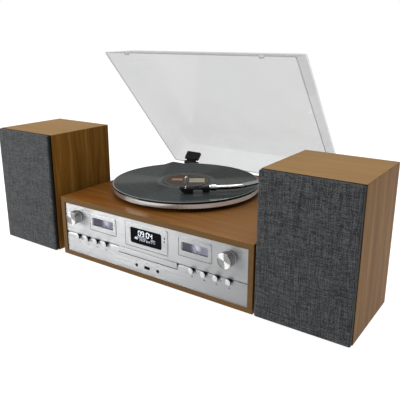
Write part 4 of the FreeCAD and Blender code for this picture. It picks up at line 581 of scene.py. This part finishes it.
def lit_dial(look, middles, face_z):
    """Meter faces that brighten to the right, with a lamp low at the left of each middle."""
    dial = Finish("meter_dial", {"Emission Strength": 1.0, "Specular IOR Level": 0.3})
    x, y, z = dial.spot()
    light = bright = 0.0
    for middle in middles:
        across = x - middle / MM
        near = abs(across) < 40
        light = (dial.fade(across, -24, 16) * near).larger(light)
        spot = ((across + 7) ** 2 + (z - face_z / MM + 5) ** 2) ** 0.5
        bright = (1 - dial.fade(spot, 1.0, 13)).larger(bright)
    grain = dial.noise(x * 1.2, y, z * 1.2, 2)
    tint = dial.mix(grain * 0.3, look.face, scaled(look.face, 1.4))
    shine = dial.mix(bright, dial.mix(light, look.face, look.glow), (0.70, 0.69, 0.86))
    return dial.give({"Base Color": tint, "Roughness": 0.55 + grain * 0.1, "Emission Color": shine})


def dark_window():
    """Smoked window of the display, glossy and nearly black."""
    pane = Finish("display_black", {"Specular IOR Level": 0.03})
    x, y, z = pane.spot()
    smear = pane.noise(x * 0.07, y, z * 0.09, 3)
    tint = pane.mix(smear * 0.5, (0.002, 0.002, 0.003), (0.005, 0.005, 0.007))
    return pane.give({"Base Color": tint, "Roughness": 0.10 + smear * 0.08})


def lit_marks(name, tint, strength):
    """Glowing marks of a display."""
    mark = Finish(name, {"Base Color": (0.02, 0.02, 0.02), "Emission Strength": strength})
    x, y, z = mark.spot()
    dots = mark.noise(x * 3, y, z * 3, 2)
    return mark.give({"Emission Color": mark.mix(dots * 0.3, tint, scaled(tint, 0.6)),
                      "Roughness": 0.4 + dots * 0.2})


def ink(name, tint):
    """Screen-printed ink."""
    print_ink = Finish(name, {"Specular IOR Level": 0.3})
    x, y, z = print_ink.spot()
    grain = print_ink.noise(x * 5, y * 5, z * 5, 2)
    shade = print_ink.mix(grain * 0.4, tint, scaled(tint, 1.6))
    return print_ink.give({"Base Color": shade, "Roughness": 0.5 + grain * 0.2})


def circuit(look):
    """Green circuit boards with copper tracks under the lacquer, and dark parts above them."""
    board = Finish("board_green", {"Specular IOR Level": 0.5})
    x, y, z = board.spot()
    track = board.chance(math.floor(x * 0.6), math.floor(y * 0.16), math.floor(z * 0.6)) > 0.6
    grain = board.noise(x * 1.2, y * 1.2, z * 1.2, 3)
    tint = board.mix(track * 0.5, look.board, (0.03, 0.16, 0.06))
    tint = board.mix(grain * 0.3, tint, (0.01, 0.02, 0.015))
    return board.give({"Base Color": tint, "Roughness": 0.35 + grain * 0.25,
                       "Normal": board.bump(grain, 0.05)})


def terminal_plastic(name, base, bands):
    """Black plastic with coloured bands between pairs of places from side to side."""
    plastic = Finish(name, {"Specular IOR Level": 0.45})
    x, y, z = plastic.spot()
    grain = plastic.noise(x * 3, y * 3, z * 3, 3)
    tint = plastic.mix(grain * 0.4, base, scaled(base, 1.7, 0.004))
    for (low, high), (floor_z, roof_z), paint in bands:
        inside = (x > low / MM) * (x < high / MM) * (z > floor_z / MM) * (z < roof_z / MM)
        tint = plastic.mix(inside, tint, paint)
    return plastic.give({"Base Color": tint, "Roughness": 0.36 + grain * 0.2,
                         "Normal": plastic.bump(grain, 0.03)})


def cone_paper(look):
    """Driver cones: pulp paper with a rubber surround."""
    pulp = Finish("driver_black", {"Specular IOR Level": 0.3})
    x, y, z = pulp.spot()
    fibre = pulp.noise(x * 0.9, y * 0.9, z * 0.9, 4, 0.7)
    tint = pulp.mix(fibre * 0.6, look.black, (0.045, 0.045, 0.048))
    return pulp.give({"Base Color": tint, "Roughness": 0.5 + fibre * 0.25, "Normal": pulp.bump(fibre, 0.12)})


def paint(material, *names):
    """Gives a finish to CAD pieces."""
    for name in names:
        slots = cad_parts[name].data.materials
        slots.clear()
        slots.append(material)


def round_edges(width, *names):
    """Rounds the hard edges of CAD pieces."""
    for name in names:
        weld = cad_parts[name].modifiers.new("weld", "WELD")
        weld.merge_threshold = 0.00001
        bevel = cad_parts[name].modifiers.new("edges", "BEVEL")
        bevel.width = width
        bevel.segments = 2
        bevel.limit_method = "ANGLE"
        bevel.angle_limit = math.radians(50)
        bevel.harden_normals = True


def piece(name, mesh, body, material, smooth_angle=35):
    """Makes a piece from a bmesh and lets it ride on a body."""
    data = bpy.data.meshes.new(name)
    bmesh.ops.recalc_face_normals(mesh, faces=mesh.faces)
    mesh.to_mesh(data)
    mesh.free()
    data.shade_smooth()
    data.set_sharp_from_angle(angle=math.radians(smooth_angle))
    data.materials.append(material)
    thing = bpy.data.objects.new(name, data)
    bpy.context.scene.collection.objects.link(thing)
    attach(thing, body)
    return thing


def lathe(mesh, profile, steps, place):
    """Turns rings of points about an axis. A ring is a radius for each angle and a depth."""
    rings = []
    for radius_at, depth in profile:
        ring = []
        for step in range(steps):
            angle = 2 * math.pi * step / steps
            radius = radius_at(step, angle)
            ring.append(mesh.verts.new(place(radius * math.cos(angle), radius * math.sin(angle), depth)))
        rings.append(ring)
    for first, second in zip(rings, rings[1:]):
        for step in range(steps):
            after = (step + 1) % steps
            mesh.faces.new((first[step], first[after], second[after], second[step]))
    mesh.faces.new(rings[0])
    mesh.faces.new(rings[-1])


def plain(radius):
    """The same radius at every angle of a turned ring."""
    return lambda step, angle: radius


def plates(mesh, outlines, place, thickness):
    """Thin plates with the given outlines, each lifted off the surface by its thickness."""
    for outline in outlines:
        low = [mesh.verts.new(place(x, z, 0)) for x, z in outline]
        high = [mesh.verts.new(place(x, z, thickness)) for x, z in outline]
        mesh.faces.new(high)
        for step in range(len(outline)):
            after = (step + 1) % len(outline)
            mesh.faces.new((low[step], low[after], high[after], high[step]))


def rectangle(x, z, width, height):
    """Outline of a rectangle about its middle."""
    corners = ((-0.5, -0.5), (0.5, -0.5), (0.5, 0.5), (-0.5, 0.5))
    return [(x + width * aside, z + height * above) for aside, above in corners]


SEGMENTS = {"0": "abcdef", "1": "bc", "2": "abged", "3": "abgcd", "4": "fgbc", "5": "afgcd",
            "6": "afgedc", "7": "abc", "8": "abcdefg", "9": "abcdfg"}


def digit(symbol, left, base, height):
    """Outlines of a seven-segment digit."""
    width = height * 0.52
    thick = height * 0.13
    right, middle, top = left + width, base + height / 2, base + height
    lines = {"a": ((left, top), (right, top)), "b": ((right, top), (right, middle)),
             "c": ((right, middle), (right, base)), "d": ((left, base), (right, base)),
             "e": ((left, middle), (left, base)), "f": ((left, top), (left, middle)),
             "g": ((left, middle), (right, middle))}
    outlines = []
    for letter in SEGMENTS[symbol]:
        start, end = (Vector(point) for point in lines[letter])
        along = (end - start).normalized() * thick
        side = Vector((-along.y, along.x)) / 2
        start, end = start + along * 0.16, end - along * 0.16
        outlines.append([start, start + along / 2 + side, end - along / 2 + side,
                         end, end - along / 2 - side, start + along / 2 - side])
    return outlines


def ring_outline(x, z, radius):
    """Outline of a small disc."""
    turns = [2 * math.pi * step / 20 for step in range(20)]
    return [(x + radius * math.cos(turn), z + radius * math.sin(turn)) for turn in turns]


def triangle(x, z, size, way=1):
    """Outline of a small triangle that points right or left."""
    half = size / 2
    return [(x - half * way, z - half), (x + half * way, z), (x - half * way, z + half)]


def key_mark(number, x, z, size):
    """Outlines of the mark under a key."""
    bar = size * 0.28
    marks = (
        [rectangle(x, z, bar, size), rectangle(x + bar * 1.7, z, bar, size * 0.6)],
        [rectangle(x - bar, z, bar, size * 0.5), rectangle(x + bar * 0.6, z, bar, size)],
        [triangle(x - size * 0.4, z, size * 0.8, -1), triangle(x + size * 0.4, z, size * 0.8, -1)],
        [triangle(x - size * 0.4, z, size * 0.8), triangle(x + size * 0.4, z, size * 0.8)],
        [triangle(x, z, size)],
        [rectangle(x, z, size * 0.8, size * 0.8)],
        [rectangle(x - bar, z, bar, size), rectangle(x + bar, z, bar, size)],
        [[(x - size / 2, z), (x + size / 2, z), (x, z + size / 2)], rectangle(x, z - bar, size, bar)],
    )
    return marks[number]


def hexagonal(radius):
    """The radius of a hexagonal socket at each angle."""
    turn = math.pi / 3
    return lambda step, angle: radius / math.cos((angle + turn / 2) % turn - turn / 2)


def screw_heads(name, places, way, radius, body, material):
    """Round screw heads with hexagonal sockets, seated on a face."""
    mesh = bmesh.new()
    for at in places:
        side, up = way.orthogonal().normalized(), way.cross(way.orthogonal()).normalized()
        profile = [(hexagonal(radius * 0.42), -radius * 0.02), (hexagonal(radius * 0.46), radius * 0.48),
                   (plain(radius * 0.72), radius * 0.46), (plain(radius * 0.93), radius * 0.30),
                   (plain(radius), radius * 0.06), (plain(radius), 0.0)]
        lathe(mesh, profile, 24, lambda x, y, depth: at + side * x + up * y + way * depth)
    return piece(name, mesh, body, material, 30)


class RECORDPLAYER_OT_case(Operator):
    """Finish the wooden case, its feet and the front panel"""

    bl_idname = "record_player.case"
    bl_label = "Case and panel"

    def execute(self, context):
        look = context.scene.record_player
        wood = look.wood
        # The case's tint is painted shade, and the speaker boxes get a faint tint.
        paint(walnut("walnut_veneer", wood, 0.14, wood.stain, -20, wood.front, 0.75), "case_boards")
        boxes = [f"{side}_speaker_box" for side in SIDES]
        paint(walnut("walnut_box", wood, 0.03, (1.0, 0.94, 0.84), -900, look.plastic.black, 1.0), *boxes)
        round_edges(wood.edge, "case_boards", *boxes)
        pads = [f"{side}_speaker_pads" for side in SIDES]
        paint(rubber("rubber_foot", look.plastic.rubber), "case_feet", *pads)
        paint(brushed("brushed_panel", look.metal.panel, 0.28, 0.9), "upper_fascia", "lower_fascia")
        paint(brushed("bright_trim", look.metal.panel, 0.24, 0.8, 1.0), "display_bezel", "meter_bezels")
        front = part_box(KEYS[0])[0].y
        # The keys' sides are painted dark as painted shade.
        paint(capped("key_metal", look.metal.steel, look.plastic.black, front + 0.6 * MM), *KEYS)
        paint(brushed("tray_grey", look.metal.panel, 0.26, 0.8), "disc_tray")
        paint(moulded("socket_black", look.plastic.black, 0.35), "front_sockets")
        paint(moulded("mechanism_grey", (0.05, 0.05, 0.052), 0.45), "disc_mechanism")
        paint(circuit(look.plastic), "circuit_boards")
        self.trim_groove(look.metal)
        return {"FINISHED"}

    def trim_groove(self, look):
        """A bright strip that leans back in the groove, open where the keys and the tray pass."""
        low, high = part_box("lower_fascia")
        tray_low, tray_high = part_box("disc_tray")
        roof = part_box("upper_fascia")[0].z
        stops = [(tray_low.x, tray_high.x)]
        for key in KEYS:
            key_low, key_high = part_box(key)
            middle = (key_low.x + key_high.x) / 2
            stops.append((middle - 3.6 * MM, middle + 3.6 * MM))
        mesh = bmesh.new()
        start = low.x
        for stop, onward in sorted(stops) + [(high.x, high.x)]:
            corners = ((low.y + 0.1 * MM, high.z), (low.y + 2.4 * MM, high.z + (roof - high.z) * 0.5),
                       (low.y + 3 * MM, high.z + (roof - high.z) * 0.5), (low.y + 3 * MM, high.z))
            ends = [[mesh.verts.new((x, y, z)) for y, z in corners] for x in (start, stop)]
            for step in range(4):
                after = (step + 1) % 4
                mesh.faces.new((ends[0][step], ends[0][after], ends[1][after], ends[1][step]))
            mesh.faces.new(ends[0])
            mesh.faces.new(ends[1])
            start = onward
        trim = brushed("groove_trim_metal", scaled(look.panel, 0.75), 0.3, 0.3)
        piece("groove_trim", mesh, "cabinet", trim)


class RECORDPLAYER_OT_knobs(Operator):
    """Make the ridged knobs with turned faces"""

    bl_idname = "record_player.knobs"
    bl_label = "Knobs"

    def execute(self, context):
        look = context.scene.record_player.metal
        for side, body in zip(SIDES, ("tuning_knob", "volume_knob")):
            node = f"{side}_knob"
            low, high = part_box(node)
            middle = (low + high) / 2
            radius = (high.x - low.x) / 2
            metal = knob_metal(f"{node}_metal", look, middle, low.y + 1.4 * MM)
            self.make(node, body, low, high, middle, radius, look, metal)
        return {"FINISHED"}

    def make(self, node, body, low, high, middle, radius, look, metal):
        rim, draft, skirt, shaft = 1.4 * MM, 0.5 * MM, 17.9 * MM, 3 * MM
        top = radius - draft

        def ridged(size):
            return lambda step, angle: size - look.tooth * (step % 4 in (0, 1))

        profile = [
            (plain(0.6 * MM), 0.7 * MM), (plain(top - rim), 0.7 * MM),
            (plain(top - rim + 0.2 * MM), 0.1 * MM), (plain(top - rim + 0.5 * MM), 0.0),
            (plain(top - 0.7 * MM), 0.0), (plain(top - 0.2 * MM), 0.25 * MM),
            (plain(top), 0.9 * MM), (plain(top), 1.9 * MM), (ridged(top), 2.1 * MM),
            (ridged(radius - 0.1 * MM), 15.4 * MM), (plain(radius - 0.05 * MM), 15.6 * MM),
            (plain(radius), 16.4 * MM), (plain(radius), skirt - 0.5 * MM), (plain(radius - 0.5 * MM), skirt),
            (plain(shaft), skirt), (plain(shaft), high.y - low.y),
        ]
        mesh = bmesh.new()
        lathe(mesh, profile, look.teeth * 4,
              lambda x, z, depth: (middle.x + x, low.y + depth, middle.z + z))
        knob = piece(f"{node}_turned", mesh, body, metal, 25)
        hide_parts(node)


class RECORDPLAYER_OT_display(Operator):
    """Finish the display and make its lit digits and marks"""

    bl_idname = "record_player.display"
    bl_label = "Display"

    def execute(self, context):
        look = context.scene.record_player.display
        paint(dark_window(), "display_window")
        low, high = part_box("display_window")
        bezel_low, bezel_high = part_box("display_bezel")
        glass = low.y + 0.7 * MM
        middle = (bezel_low.x + bezel_high.x) / 2
        base = low.z + (high.z - low.z) * 0.52

        def on_glass(x, z, lift):
            return (middle + x, glass - lift, base + z)

        tall = look.digit
        step = tall * 0.80
        start = -2.3 * step
        mesh = bmesh.new()
        for symbol, slot in (("0", 0), ("9", 1), ("0", 2.5), ("4", 3.5)):
            plates(mesh, digit(symbol, start + slot * step, 0.0, tall), on_glass, DIGIT_LIFT)
        colon = start + 2.12 * step
        dots = [rectangle(colon, tall * part, tall * 0.13, tall * 0.13) for part in (0.3, 0.7)]
        plates(mesh, dots, on_glass, DIGIT_LIFT)
        piece("clock_digits", mesh, "cabinet", lit_marks("lit_digits", look.lit, 1.6))

        mesh = bmesh.new()
        small = tall * 0.34
        for line, places in ((-tall * 0.48, (-17, -13.6, -10.2, -5, -1.6, 12, 15.4, 18.8)),
                             (-tall * 0.92, (-15, -11.6, -8.2, -4.8, 0, 3.4, 6.8, 12, 15.4, 18.8))):
            for number, x in enumerate(places):
                plates(mesh, digit("2058369471"[number], x * MM, line, small), on_glass, DIGIT_LIFT)
        bars = [rectangle((x - 26) * MM, h * MM / 2 - tall * 0.8, 1.1 * MM, h * MM)
                for x, h in ((0, 3.4), (1.9, 5.2), (3.8, 4.2), (5.7, 6.0))]
        plates(mesh, bars, on_glass, DIGIT_LIFT)
        piece("display_marks", mesh, "cabinet", lit_marks("lit_small_marks", look.lit, 1.2))
        return {"FINISHED"}


class RECORDPLAYER_OT_meters(Operator):
    """Light the level meters and draw their scales"""

    bl_idname = "record_player.meters"
    bl_label = "Level meters"

    def execute(self, context):
        look = context.scene.record_player.display
        low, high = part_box("meter_lenses")
        window = 55 * MM
        middles = (low.x + window / 2, high.x - window / 2)
        middle_z = (low.z + high.z) / 2
        paint(lens_glass(), "meter_lenses")
        paint(lit_dial(look, middles, middle_z), "meter_dials")
        paint(moulded("needle_grey", (0.30, 0.29, 0.34), 0.5), "left_needle", "right_needle")
        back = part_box("left_needle")[1].y + 1.2 * MM
        scale_ink = lit_marks("scale_marks", look.lit, 0.25)
        for side, middle in zip(SIDES, middles):
            mesh = bmesh.new()
            pivot = middle_z - 9 * MM
            for tick in range(11):
                angle = math.radians(-42 + tick * 8.4)
                tall = (2.6 if tick % 5 == 0 else 1.5) * MM
                out = Vector((math.sin(angle), math.cos(angle)))
                wide = Vector((out.y, -out.x)) * 0.2 * MM
                foot = Vector((middle, pivot)) + out * 14.2 * MM
                head = foot + out * tall
                plates(mesh, [[foot - wide, foot + wide, head + wide, head - wide]],
                       lambda x, z, lift: (x, back - lift, z), 0.1 * MM)
            piece(f"{side}_meter_scale", mesh, "cabinet", scale_ink)
        return {"FINISHED"}


class RECORDPLAYER_OT_print(Operator):
    """Print small marks on the panel and paint shadow lines at its plates"""

    bl_idname = "record_player.print"
    bl_label = "Panel print"

    def execute(self, context):
        look = context.scene.record_player.display
        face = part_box("lower_fascia")[0].y
        mesh = bmesh.new()

        def on_panel(x, z, lift):
            return (x, face - lift, z)

        for number, key in enumerate(KEYS):
            low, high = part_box(key)
            outlines = key_mark(number, (low.x + high.x) / 2, low.z - 7 * MM, 3.4 * MM)
            plates(mesh, outlines, on_panel, PRINT_LIFT)
        low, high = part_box("front_sockets")
        middle, above = (low.x + high.x) / 2, high.z + 3.2 * MM
        for x in (-25 * MM, 0.0, 25 * MM):
            at = middle + x
            marks = [rectangle(at - 1.6 * MM, above, 0.6 * MM, 1.6 * MM),
                     rectangle(at + 1.6 * MM, above, 0.6 * MM, 1.6 * MM),
                     rectangle(at, above + 0.7 * MM, 2.4 * MM, 0.4 * MM)]
            plates(mesh, marks, on_panel, PRINT_LIFT)
        piece("panel_print", mesh, "cabinet", ink("panel_ink", look.print_ink))
        self.draw_shadow_lines(face, look)
        return {"FINISHED"}

    def draw_shadow_lines(self, face, look):
        """Painted shadow lines at the left and lower edges of the plates and under the tray, and two dots by
        the display.
        """
        thin = 0.9 * MM
        mesh = bmesh.new()
        bezels = [vertex.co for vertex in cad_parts["meter_bezels"].data.vertices]
        low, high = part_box("display_bezel")
        middle = (low.x + high.x) / 2
        spans = [(low.x, high.x, low.z, high.z)]
        for inside in (lambda x: x < middle, lambda x: x > middle):
            points = [point for point in bezels if inside(point.x)]
            wide, tall = [point.x for point in points], [point.z for point in points]
            spans.append((min(wide), max(wide), min(tall), max(tall)))
        lines = []
        for left, right, foot, head in spans:
            lines += [rectangle(left + thin / 2, (foot + head) / 2, thin, head - foot),
                      rectangle((left + right) / 2, foot + thin / 2, right - left, thin)]
        for aside, above, radius in ((92.3, 31.4, 1.6), (92.4, 24.8, 1.2)):
            lines.append(ring_outline(low.x + aside * MM, low.z + above * MM, radius * MM))
        plates(mesh, lines, lambda x, z, lift: (x, low.y - lift, z), PRINT_LIFT)
        # Painted shadow line under the tray.
        tray_low, tray_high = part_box("disc_tray")
        under = [rectangle((tray_low.x + tray_high.x) / 2, tray_low.z - 1 * MM,
                           tray_high.x - tray_low.x, 2 * MM)]
        plates(mesh, under, lambda x, z, lift: (x, face - lift, z), PRINT_LIFT)
        piece("panel_shadow_lines", mesh, "cabinet", ink("gap_shadow", (0.015, 0.015, 0.016)))


class RECORDPLAYER_OT_record(Operator):
    """Finish the platter and the record, and lay the label on it"""

    bl_idname = "record_player.record"
    bl_label = "Platter and record"

    def execute(self, context):
        look = context.scene.record_player
        low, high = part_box("record")
        middle = (low + high) / 2
        paint(vinyl(look.record, middle), "record")
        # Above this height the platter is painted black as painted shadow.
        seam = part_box("platter")[1].z - 2 * MM
        paint(platter_alloy(look.metal.steel, look.plastic.black, seam), "platter")
        paint(rubber("platter_rubber", look.plastic.rubber, middle), "platter_mat")
        paint(polished("bearing_steel", look.metal.steel, 0.18), "spindle", "platter_bearing", "motor")
        paint(polished("pulley_brass", look.metal.brass, 0.2), "motor_pulley")
        paint(rubber("belt_rubber", look.plastic.rubber), "drive_belt")
        paint(moulded("adapter_black", look.plastic.black, 0.4), "single_adapter")
        rings = ((49.4, 0.0), (49.4, 0.05), (16, 0.06), (15.2, -0.02), (14.4, 0.06), (3.8, 0.06), (3.8, 0.0))
        profile = [(plain(radius * MM), lift * MM) for radius, lift in rings]
        mesh = bmesh.new()
        lathe(mesh, profile, 96, lambda x, y, lift: (middle.x + x, middle.y + y, high.z + lift))
        label = piece("record_label", mesh, "turntable", printed_label(look.record, middle))
        self.open_hole(label)
        return {"FINISHED"}

    def open_hole(self, label):
        """Takes away the closing faces of the label's hole."""
        mesh = bmesh.new()
        mesh.from_mesh(label.data)
        caps = [face for face in mesh.faces if len(face.verts) > 4]
        bmesh.ops.delete(mesh, geom=caps, context="FACES_ONLY")
        mesh.to_mesh(label.data)
        mesh.free()


class RECORDPLAYER_OT_tonearm(Operator):
    """Finish the tonearm, its lift and its rest"""

    bl_idname = "record_player.tonearm"
    bl_label = "Tonearm"

    def execute(self, context):
        look = context.scene.record_player
        paint(chrome(look.metal, look.plastic.black), "arm_tube")
        paint(polished("arm_metal", look.metal.steel, 0.2), "arm_yoke", "cue_lever", "speed_lever")
        paint(polished("weight_steel", look.metal.steel, 0.16), "counterweight")
        paint(moulded("shell_black", look.plastic.black, 0.3), "headshell", "cartridge")
        paint(moulded("base_black", look.plastic.black, 0.42), "arm_base", "arm_rest", "arm_lifter")
        steel = polished("shell_steel", look.metal.chrome, 0.12)
        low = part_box("headshell")[0]
        places = [low + Vector((x, y, 10)) * MM for x, y in ((15.5, 8.5), (9.5, 17.5))]
        screw_heads("shell_screws", places, Vector((0, 0, 1)), 1.6 * MM, "tonearm", steel)
        tip = low + Vector((0.2, 9.2, 8.4)) * MM
        ahead = Vector((-0.86, -0.51, 0))
        screw_heads("shell_tip", [tip], ahead, 1.5 * MM, "tonearm", steel)
        return {"FINISHED"}


class RECORDPLAYER_OT_cover(Operator):
    """Finish the clear dust cover and its hinges"""

    bl_idname = "record_player.cover"
    bl_label = "Dust cover"

    def execute(self, context):
        look = context.scene.record_player
        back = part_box("case_boards")[1]
        hinge = back + Vector((0, 1 * MM, 5 * MM))
        paint(clear_acrylic(look.plastic, hinge, LID_OPENING), "dust_cover")
        paint(moulded("hinge_black", look.plastic.black, 0.38), "lid_hinges", "hinge_brackets")
        steel = polished("screw_steel", look.metal.steel, 0.2)
        low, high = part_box("hinge_brackets")
        face = back.y + 4 * MM
        places = [Vector((x, face, low.z + rise * MM)) for x in (low.x + 19 * MM, high.x - 19 * MM)
                  for rise in (7, 20)]
        screw_heads("hinge_screws", places, Vector((0, 1, 0)), 3 * MM, "cabinet", steel)
        return {"FINISHED"}


class RECORDPLAYER_OT_cloth(Operator):
    """Stretch cloth over the loudspeakers' frames"""

    bl_idname = "record_player.cloth"
    bl_label = "Loudspeaker cloth"

    def execute(self, context):
        look = context.scene.record_player
        paint(moulded("frame_black", look.plastic.black, 0.5), "left_grille", "right_grille")
        for side in SIDES:
            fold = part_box(f"{side}_grille")[0].y + look.cloth.bend * 0.7
            self.stretch(side, look.cloth, woven(f"{side}_grille_cloth", look.cloth, fold))
        return {"FINISHED"}

    def stretch(self, side, look, material):
        low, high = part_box(f"{side}_grille")
        bend = look.bend + look.proud
        half_w = (high.x - low.x) / 2 + look.proud - bend
        half_h = (high.z - low.z) / 2 + look.proud - bend
        middle = (low + high) / 2
        front = low.y - look.proud
        columns, rows, fan, arcs = 24, 36, 4, 4
        mesh = bmesh.new()
        grid = [[mesh.verts.new((middle.x - half_w + 2 * half_w * i / columns, front,
                                 middle.z - half_h + 2 * half_h * j / rows))
                 for i in range(columns + 1)] for j in range(rows + 1)]
        for j in range(rows):
            for i in range(columns):
                mesh.faces.new((grid[j][i], grid[j][i + 1], grid[j + 1][i + 1], grid[j + 1][i]))
        border = []
        corners = ((0, 0, -90), (0, columns, 0), (rows, columns, 90), (rows, 0, 180))
        for number, (j, i, start) in enumerate(corners):
            border += [(grid[j][i], start - 90 + 90 * step / fan) for step in range(fan + 1)]
            next_j, next_i, _ = corners[(number + 1) % 4]
            steps = max(abs(next_j - j), abs(next_i - i))
            for step in range(1, steps):
                at_j, at_i = j + (next_j - j) * step // steps, i + (next_i - i) * step // steps
                border.append((grid[at_j][at_i], start))
        previous = [vert for vert, angle in border]
        drops = [(bend * math.sin(math.pi / 2 * n / arcs), bend * (1 - math.cos(math.pi / 2 * n / arcs)))
                 for n in range(1, arcs + 1)]
        drops += [(bend, bend + look.tuck / 2), (bend, bend + look.tuck)]
        for out, depth in drops:
            ring = []
            for vert, angle in border:
                way = math.radians(angle)
                step_out = Vector((math.cos(way) * out, depth, math.sin(way) * out))
                ring.append(mesh.verts.new(vert.co + step_out))
            for step in range(len(ring)):
                after = (step + 1) % len(ring)
                corners_of_face = [previous[step], previous[after], ring[after], ring[step]]
                if previous[step] is previous[after]:
                    corners_of_face.pop(1)
                mesh.faces.new(corners_of_face)
            previous = ring
        cloth = piece(f"{side}_cloth", mesh, f"{side}_speaker", material, 60)


class RECORDPLAYER_OT_fittings(Operator):
    """Finish the drivers, terminals and rear panel, and seat their screws"""

    bl_idname = "record_player.fittings"
    bl_label = "Rear and loudspeaker fittings"

    def execute(self, context):
        look = context.scene.record_player
        black = look.plastic.black
        red = (0.35, 0.02, 0.015)
        paint(cone_paper(look.plastic), "left_drivers", "right_drivers")
        for side in SIDES:
            low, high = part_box(f"{side}_terminals")
            middle, inner = (low.x + high.x) / 2, (low.z + high.z) / 2
            bands = [((middle + 3.5 * MM, middle + 15.5 * MM), (inner - 10 * MM, inner + 10 * MM), red)]
            paint(terminal_plastic(f"{side}_terminal_plastic", black, bands), f"{side}_terminals")
        paint(moulded("rear_black", black, 0.42), "rear_panel", "power_rocker")
        low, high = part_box("rear_sockets")
        bands = [((low.x, low.x + 16 * MM), (low.z, high.z), red)]
        paint(terminal_plastic("rear_socket_plastic", black, bands), "rear_sockets")
        steel = polished("fitting_steel", look.metal.steel, 0.2)
        low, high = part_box("rear_panel")
        inset = 7 * MM
        places = [Vector((x, high.y, z)) for x in (low.x + inset, (low.x + high.x) / 2, high.x - inset)
                  for z in (low.z + inset, high.z - inset)]
        screw_heads("rear_screws", places, Vector((0, 1, 0)), 2.8 * MM, "cabinet", steel)
        for side in SIDES:
            low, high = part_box(f"{side}_terminals")
            inset = 3.2 * MM
            places = [Vector((x, high.y, z)) for x in (low.x + inset, high.x - inset)
                      for z in (low.z + inset, high.z - inset)]
            screw_heads(f"{side}_terminal_screws", places, Vector((0, 1, 0)), 2 * MM,
                        f"{side}_speaker", steel)
        return {"FINISHED"}


class RECORDPLAYER_OT_stage(Operator):
    """Lay the floor, light the room and set the camera"""

    bl_idname = "record_player.stage"
    bl_label = "Stage"

    def execute(self, context):
        look = context.scene.record_player.stage
        self.lay_floor(look)
        self.light_room(context, look)
        self.set_camera(context, look)
        return {"FINISHED"}

    def lay_floor(self, look):
        """A wide round floor of pale paper, lit a little from below."""
        mesh = bmesh.new()
        bmesh.ops.create_circle(mesh, cap_ends=True, radius=9, segments=96)
        data = bpy.data.meshes.new("floor")
        mesh.to_mesh(data)
        mesh.free()
        data.shade_smooth()
        paper = Finish("floor_paper", {"Specular IOR Level": 0.1})
        x, y, z = paper.spot()
        tooth = paper.noise(x * 0.2, y * 0.2, z, 2)
        shade = paper.mix(tooth * 0.2, look.floor, scaled(look.floor, 0.97))
        data.materials.append(paper.give({"Base Color": shade, "Roughness": 0.85 + tooth * 0.1,
                                          "Emission Color": (1, 1, 1), "Emission Strength": look.glow}))
        floor = bpy.data.objects.new("floor", data)
        bpy.context.scene.collection.objects.link(floor)

    def light_room(self, context, look):
        """A white room with a large lamp at the front left, one above and a weak one at the right."""
        world = bpy.data.worlds.new("white_room")
        world.use_nodes = True
        tree = world.node_tree
        room = tree.nodes["Background"]
        room.inputs["Color"].default_value = (1, 1, 1, 1)
        room.inputs["Strength"].default_value = look.sky
        seen = tree.nodes.new("ShaderNodeBackground")
        seen.inputs["Color"].default_value = (1, 1, 1, 1)
        path = tree.nodes.new("ShaderNodeLightPath")
        both = tree.nodes.new("ShaderNodeMixShader")
        tree.links.new(path.outputs["Is Camera Ray"], both.inputs[0])
        tree.links.new(room.outputs[0], both.inputs[1])
        tree.links.new(seen.outputs[0], both.inputs[2])
        tree.links.new(both.outputs[0], tree.nodes["World Output"].inputs[0])
        context.scene.world = world
        for name, at, aim, size, power in (
                ("key_lamp", (-1.6, -1.5, 0.95), (-0.05, -0.1, 0.1), 1.6, look.key),
                ("top_lamp", (0.1, 0.3, 2.2), (0, 0, 0.1), 2.0, look.top),
                ("side_lamp", (2.0, -0.6, 1.0), (0.2, -0.1, 0.1), 1.2, look.side)):
            lamp = bpy.data.lights.new(name, "AREA")
            lamp.energy = power
            lamp.size = size
            thing = bpy.data.objects.new(name, lamp)
            thing.location = at
            thing.rotation_euler = (Vector(aim) - Vector(at)).to_track_quat("-Z", "Y").to_euler()
            context.scene.collection.objects.link(thing)
        context.scene.view_settings.view_transform = "Standard"

    def set_camera(self, context, look):
        """A camera to the right of the set that looks down on it."""
        camera = bpy.data.cameras.new("camera")
        camera.lens = look.lens
        camera.sensor_width = 36
        camera.shift_x, camera.shift_y = CAMERA_SHIFT
        thing = bpy.data.objects.new("camera", camera)
        thing.location = CAMERA_PLACE
        thing.rotation_euler = (math.pi / 2 - CAMERA_DOWN, 0, CAMERA_TURN)
        context.scene.collection.objects.link(thing)
        context.scene.camera = thing


OPERATORS = (
    RECORDPLAYER_OT_case,
    RECORDPLAYER_OT_knobs,
    RECORDPLAYER_OT_display,
    RECORDPLAYER_OT_meters,
    RECORDPLAYER_OT_print,
    RECORDPLAYER_OT_record,
    RECORDPLAYER_OT_tonearm,
    RECORDPLAYER_OT_cover,
    RECORDPLAYER_OT_cloth,
    RECORDPLAYER_OT_fittings,
    RECORDPLAYER_OT_stage,
)


class RECORDPLAYER_PT_pieces(Panel):
    """Lists the operators that dress the set"""

    bl_idname = "RECORDPLAYER_PT_pieces"
    bl_label = "Record player"
    bl_space_type = "VIEW_3D"
    bl_region_type = "UI"
    bl_category = "Record player"

    def draw(self, context):
        for operator in OPERATORS:
            self.layout.operator(operator.bl_idname)


LOOKS = (WoodLook, MetalLook, ClothLook, DisplayLook, RecordLook, PlasticLook, StageLook, SetLook)


def register():
    for group in (*LOOKS, *OPERATORS, RECORDPLAYER_PT_pieces):
        bpy.utils.register_class(group)
    bpy.types.Scene.record_player = PointerProperty(type=SetLook)


def unregister():
    del bpy.types.Scene.record_player
    for group in reversed((*LOOKS, *OPERATORS, RECORDPLAYER_PT_pieces)):
        bpy.utils.unregister_class(group)


def main():
    register()
    for operator in OPERATORS:
        group, name = operator.bl_idname.split(".")
        getattr(getattr(bpy.ops, group), name)()


if __name__ == "__main__":
    main()
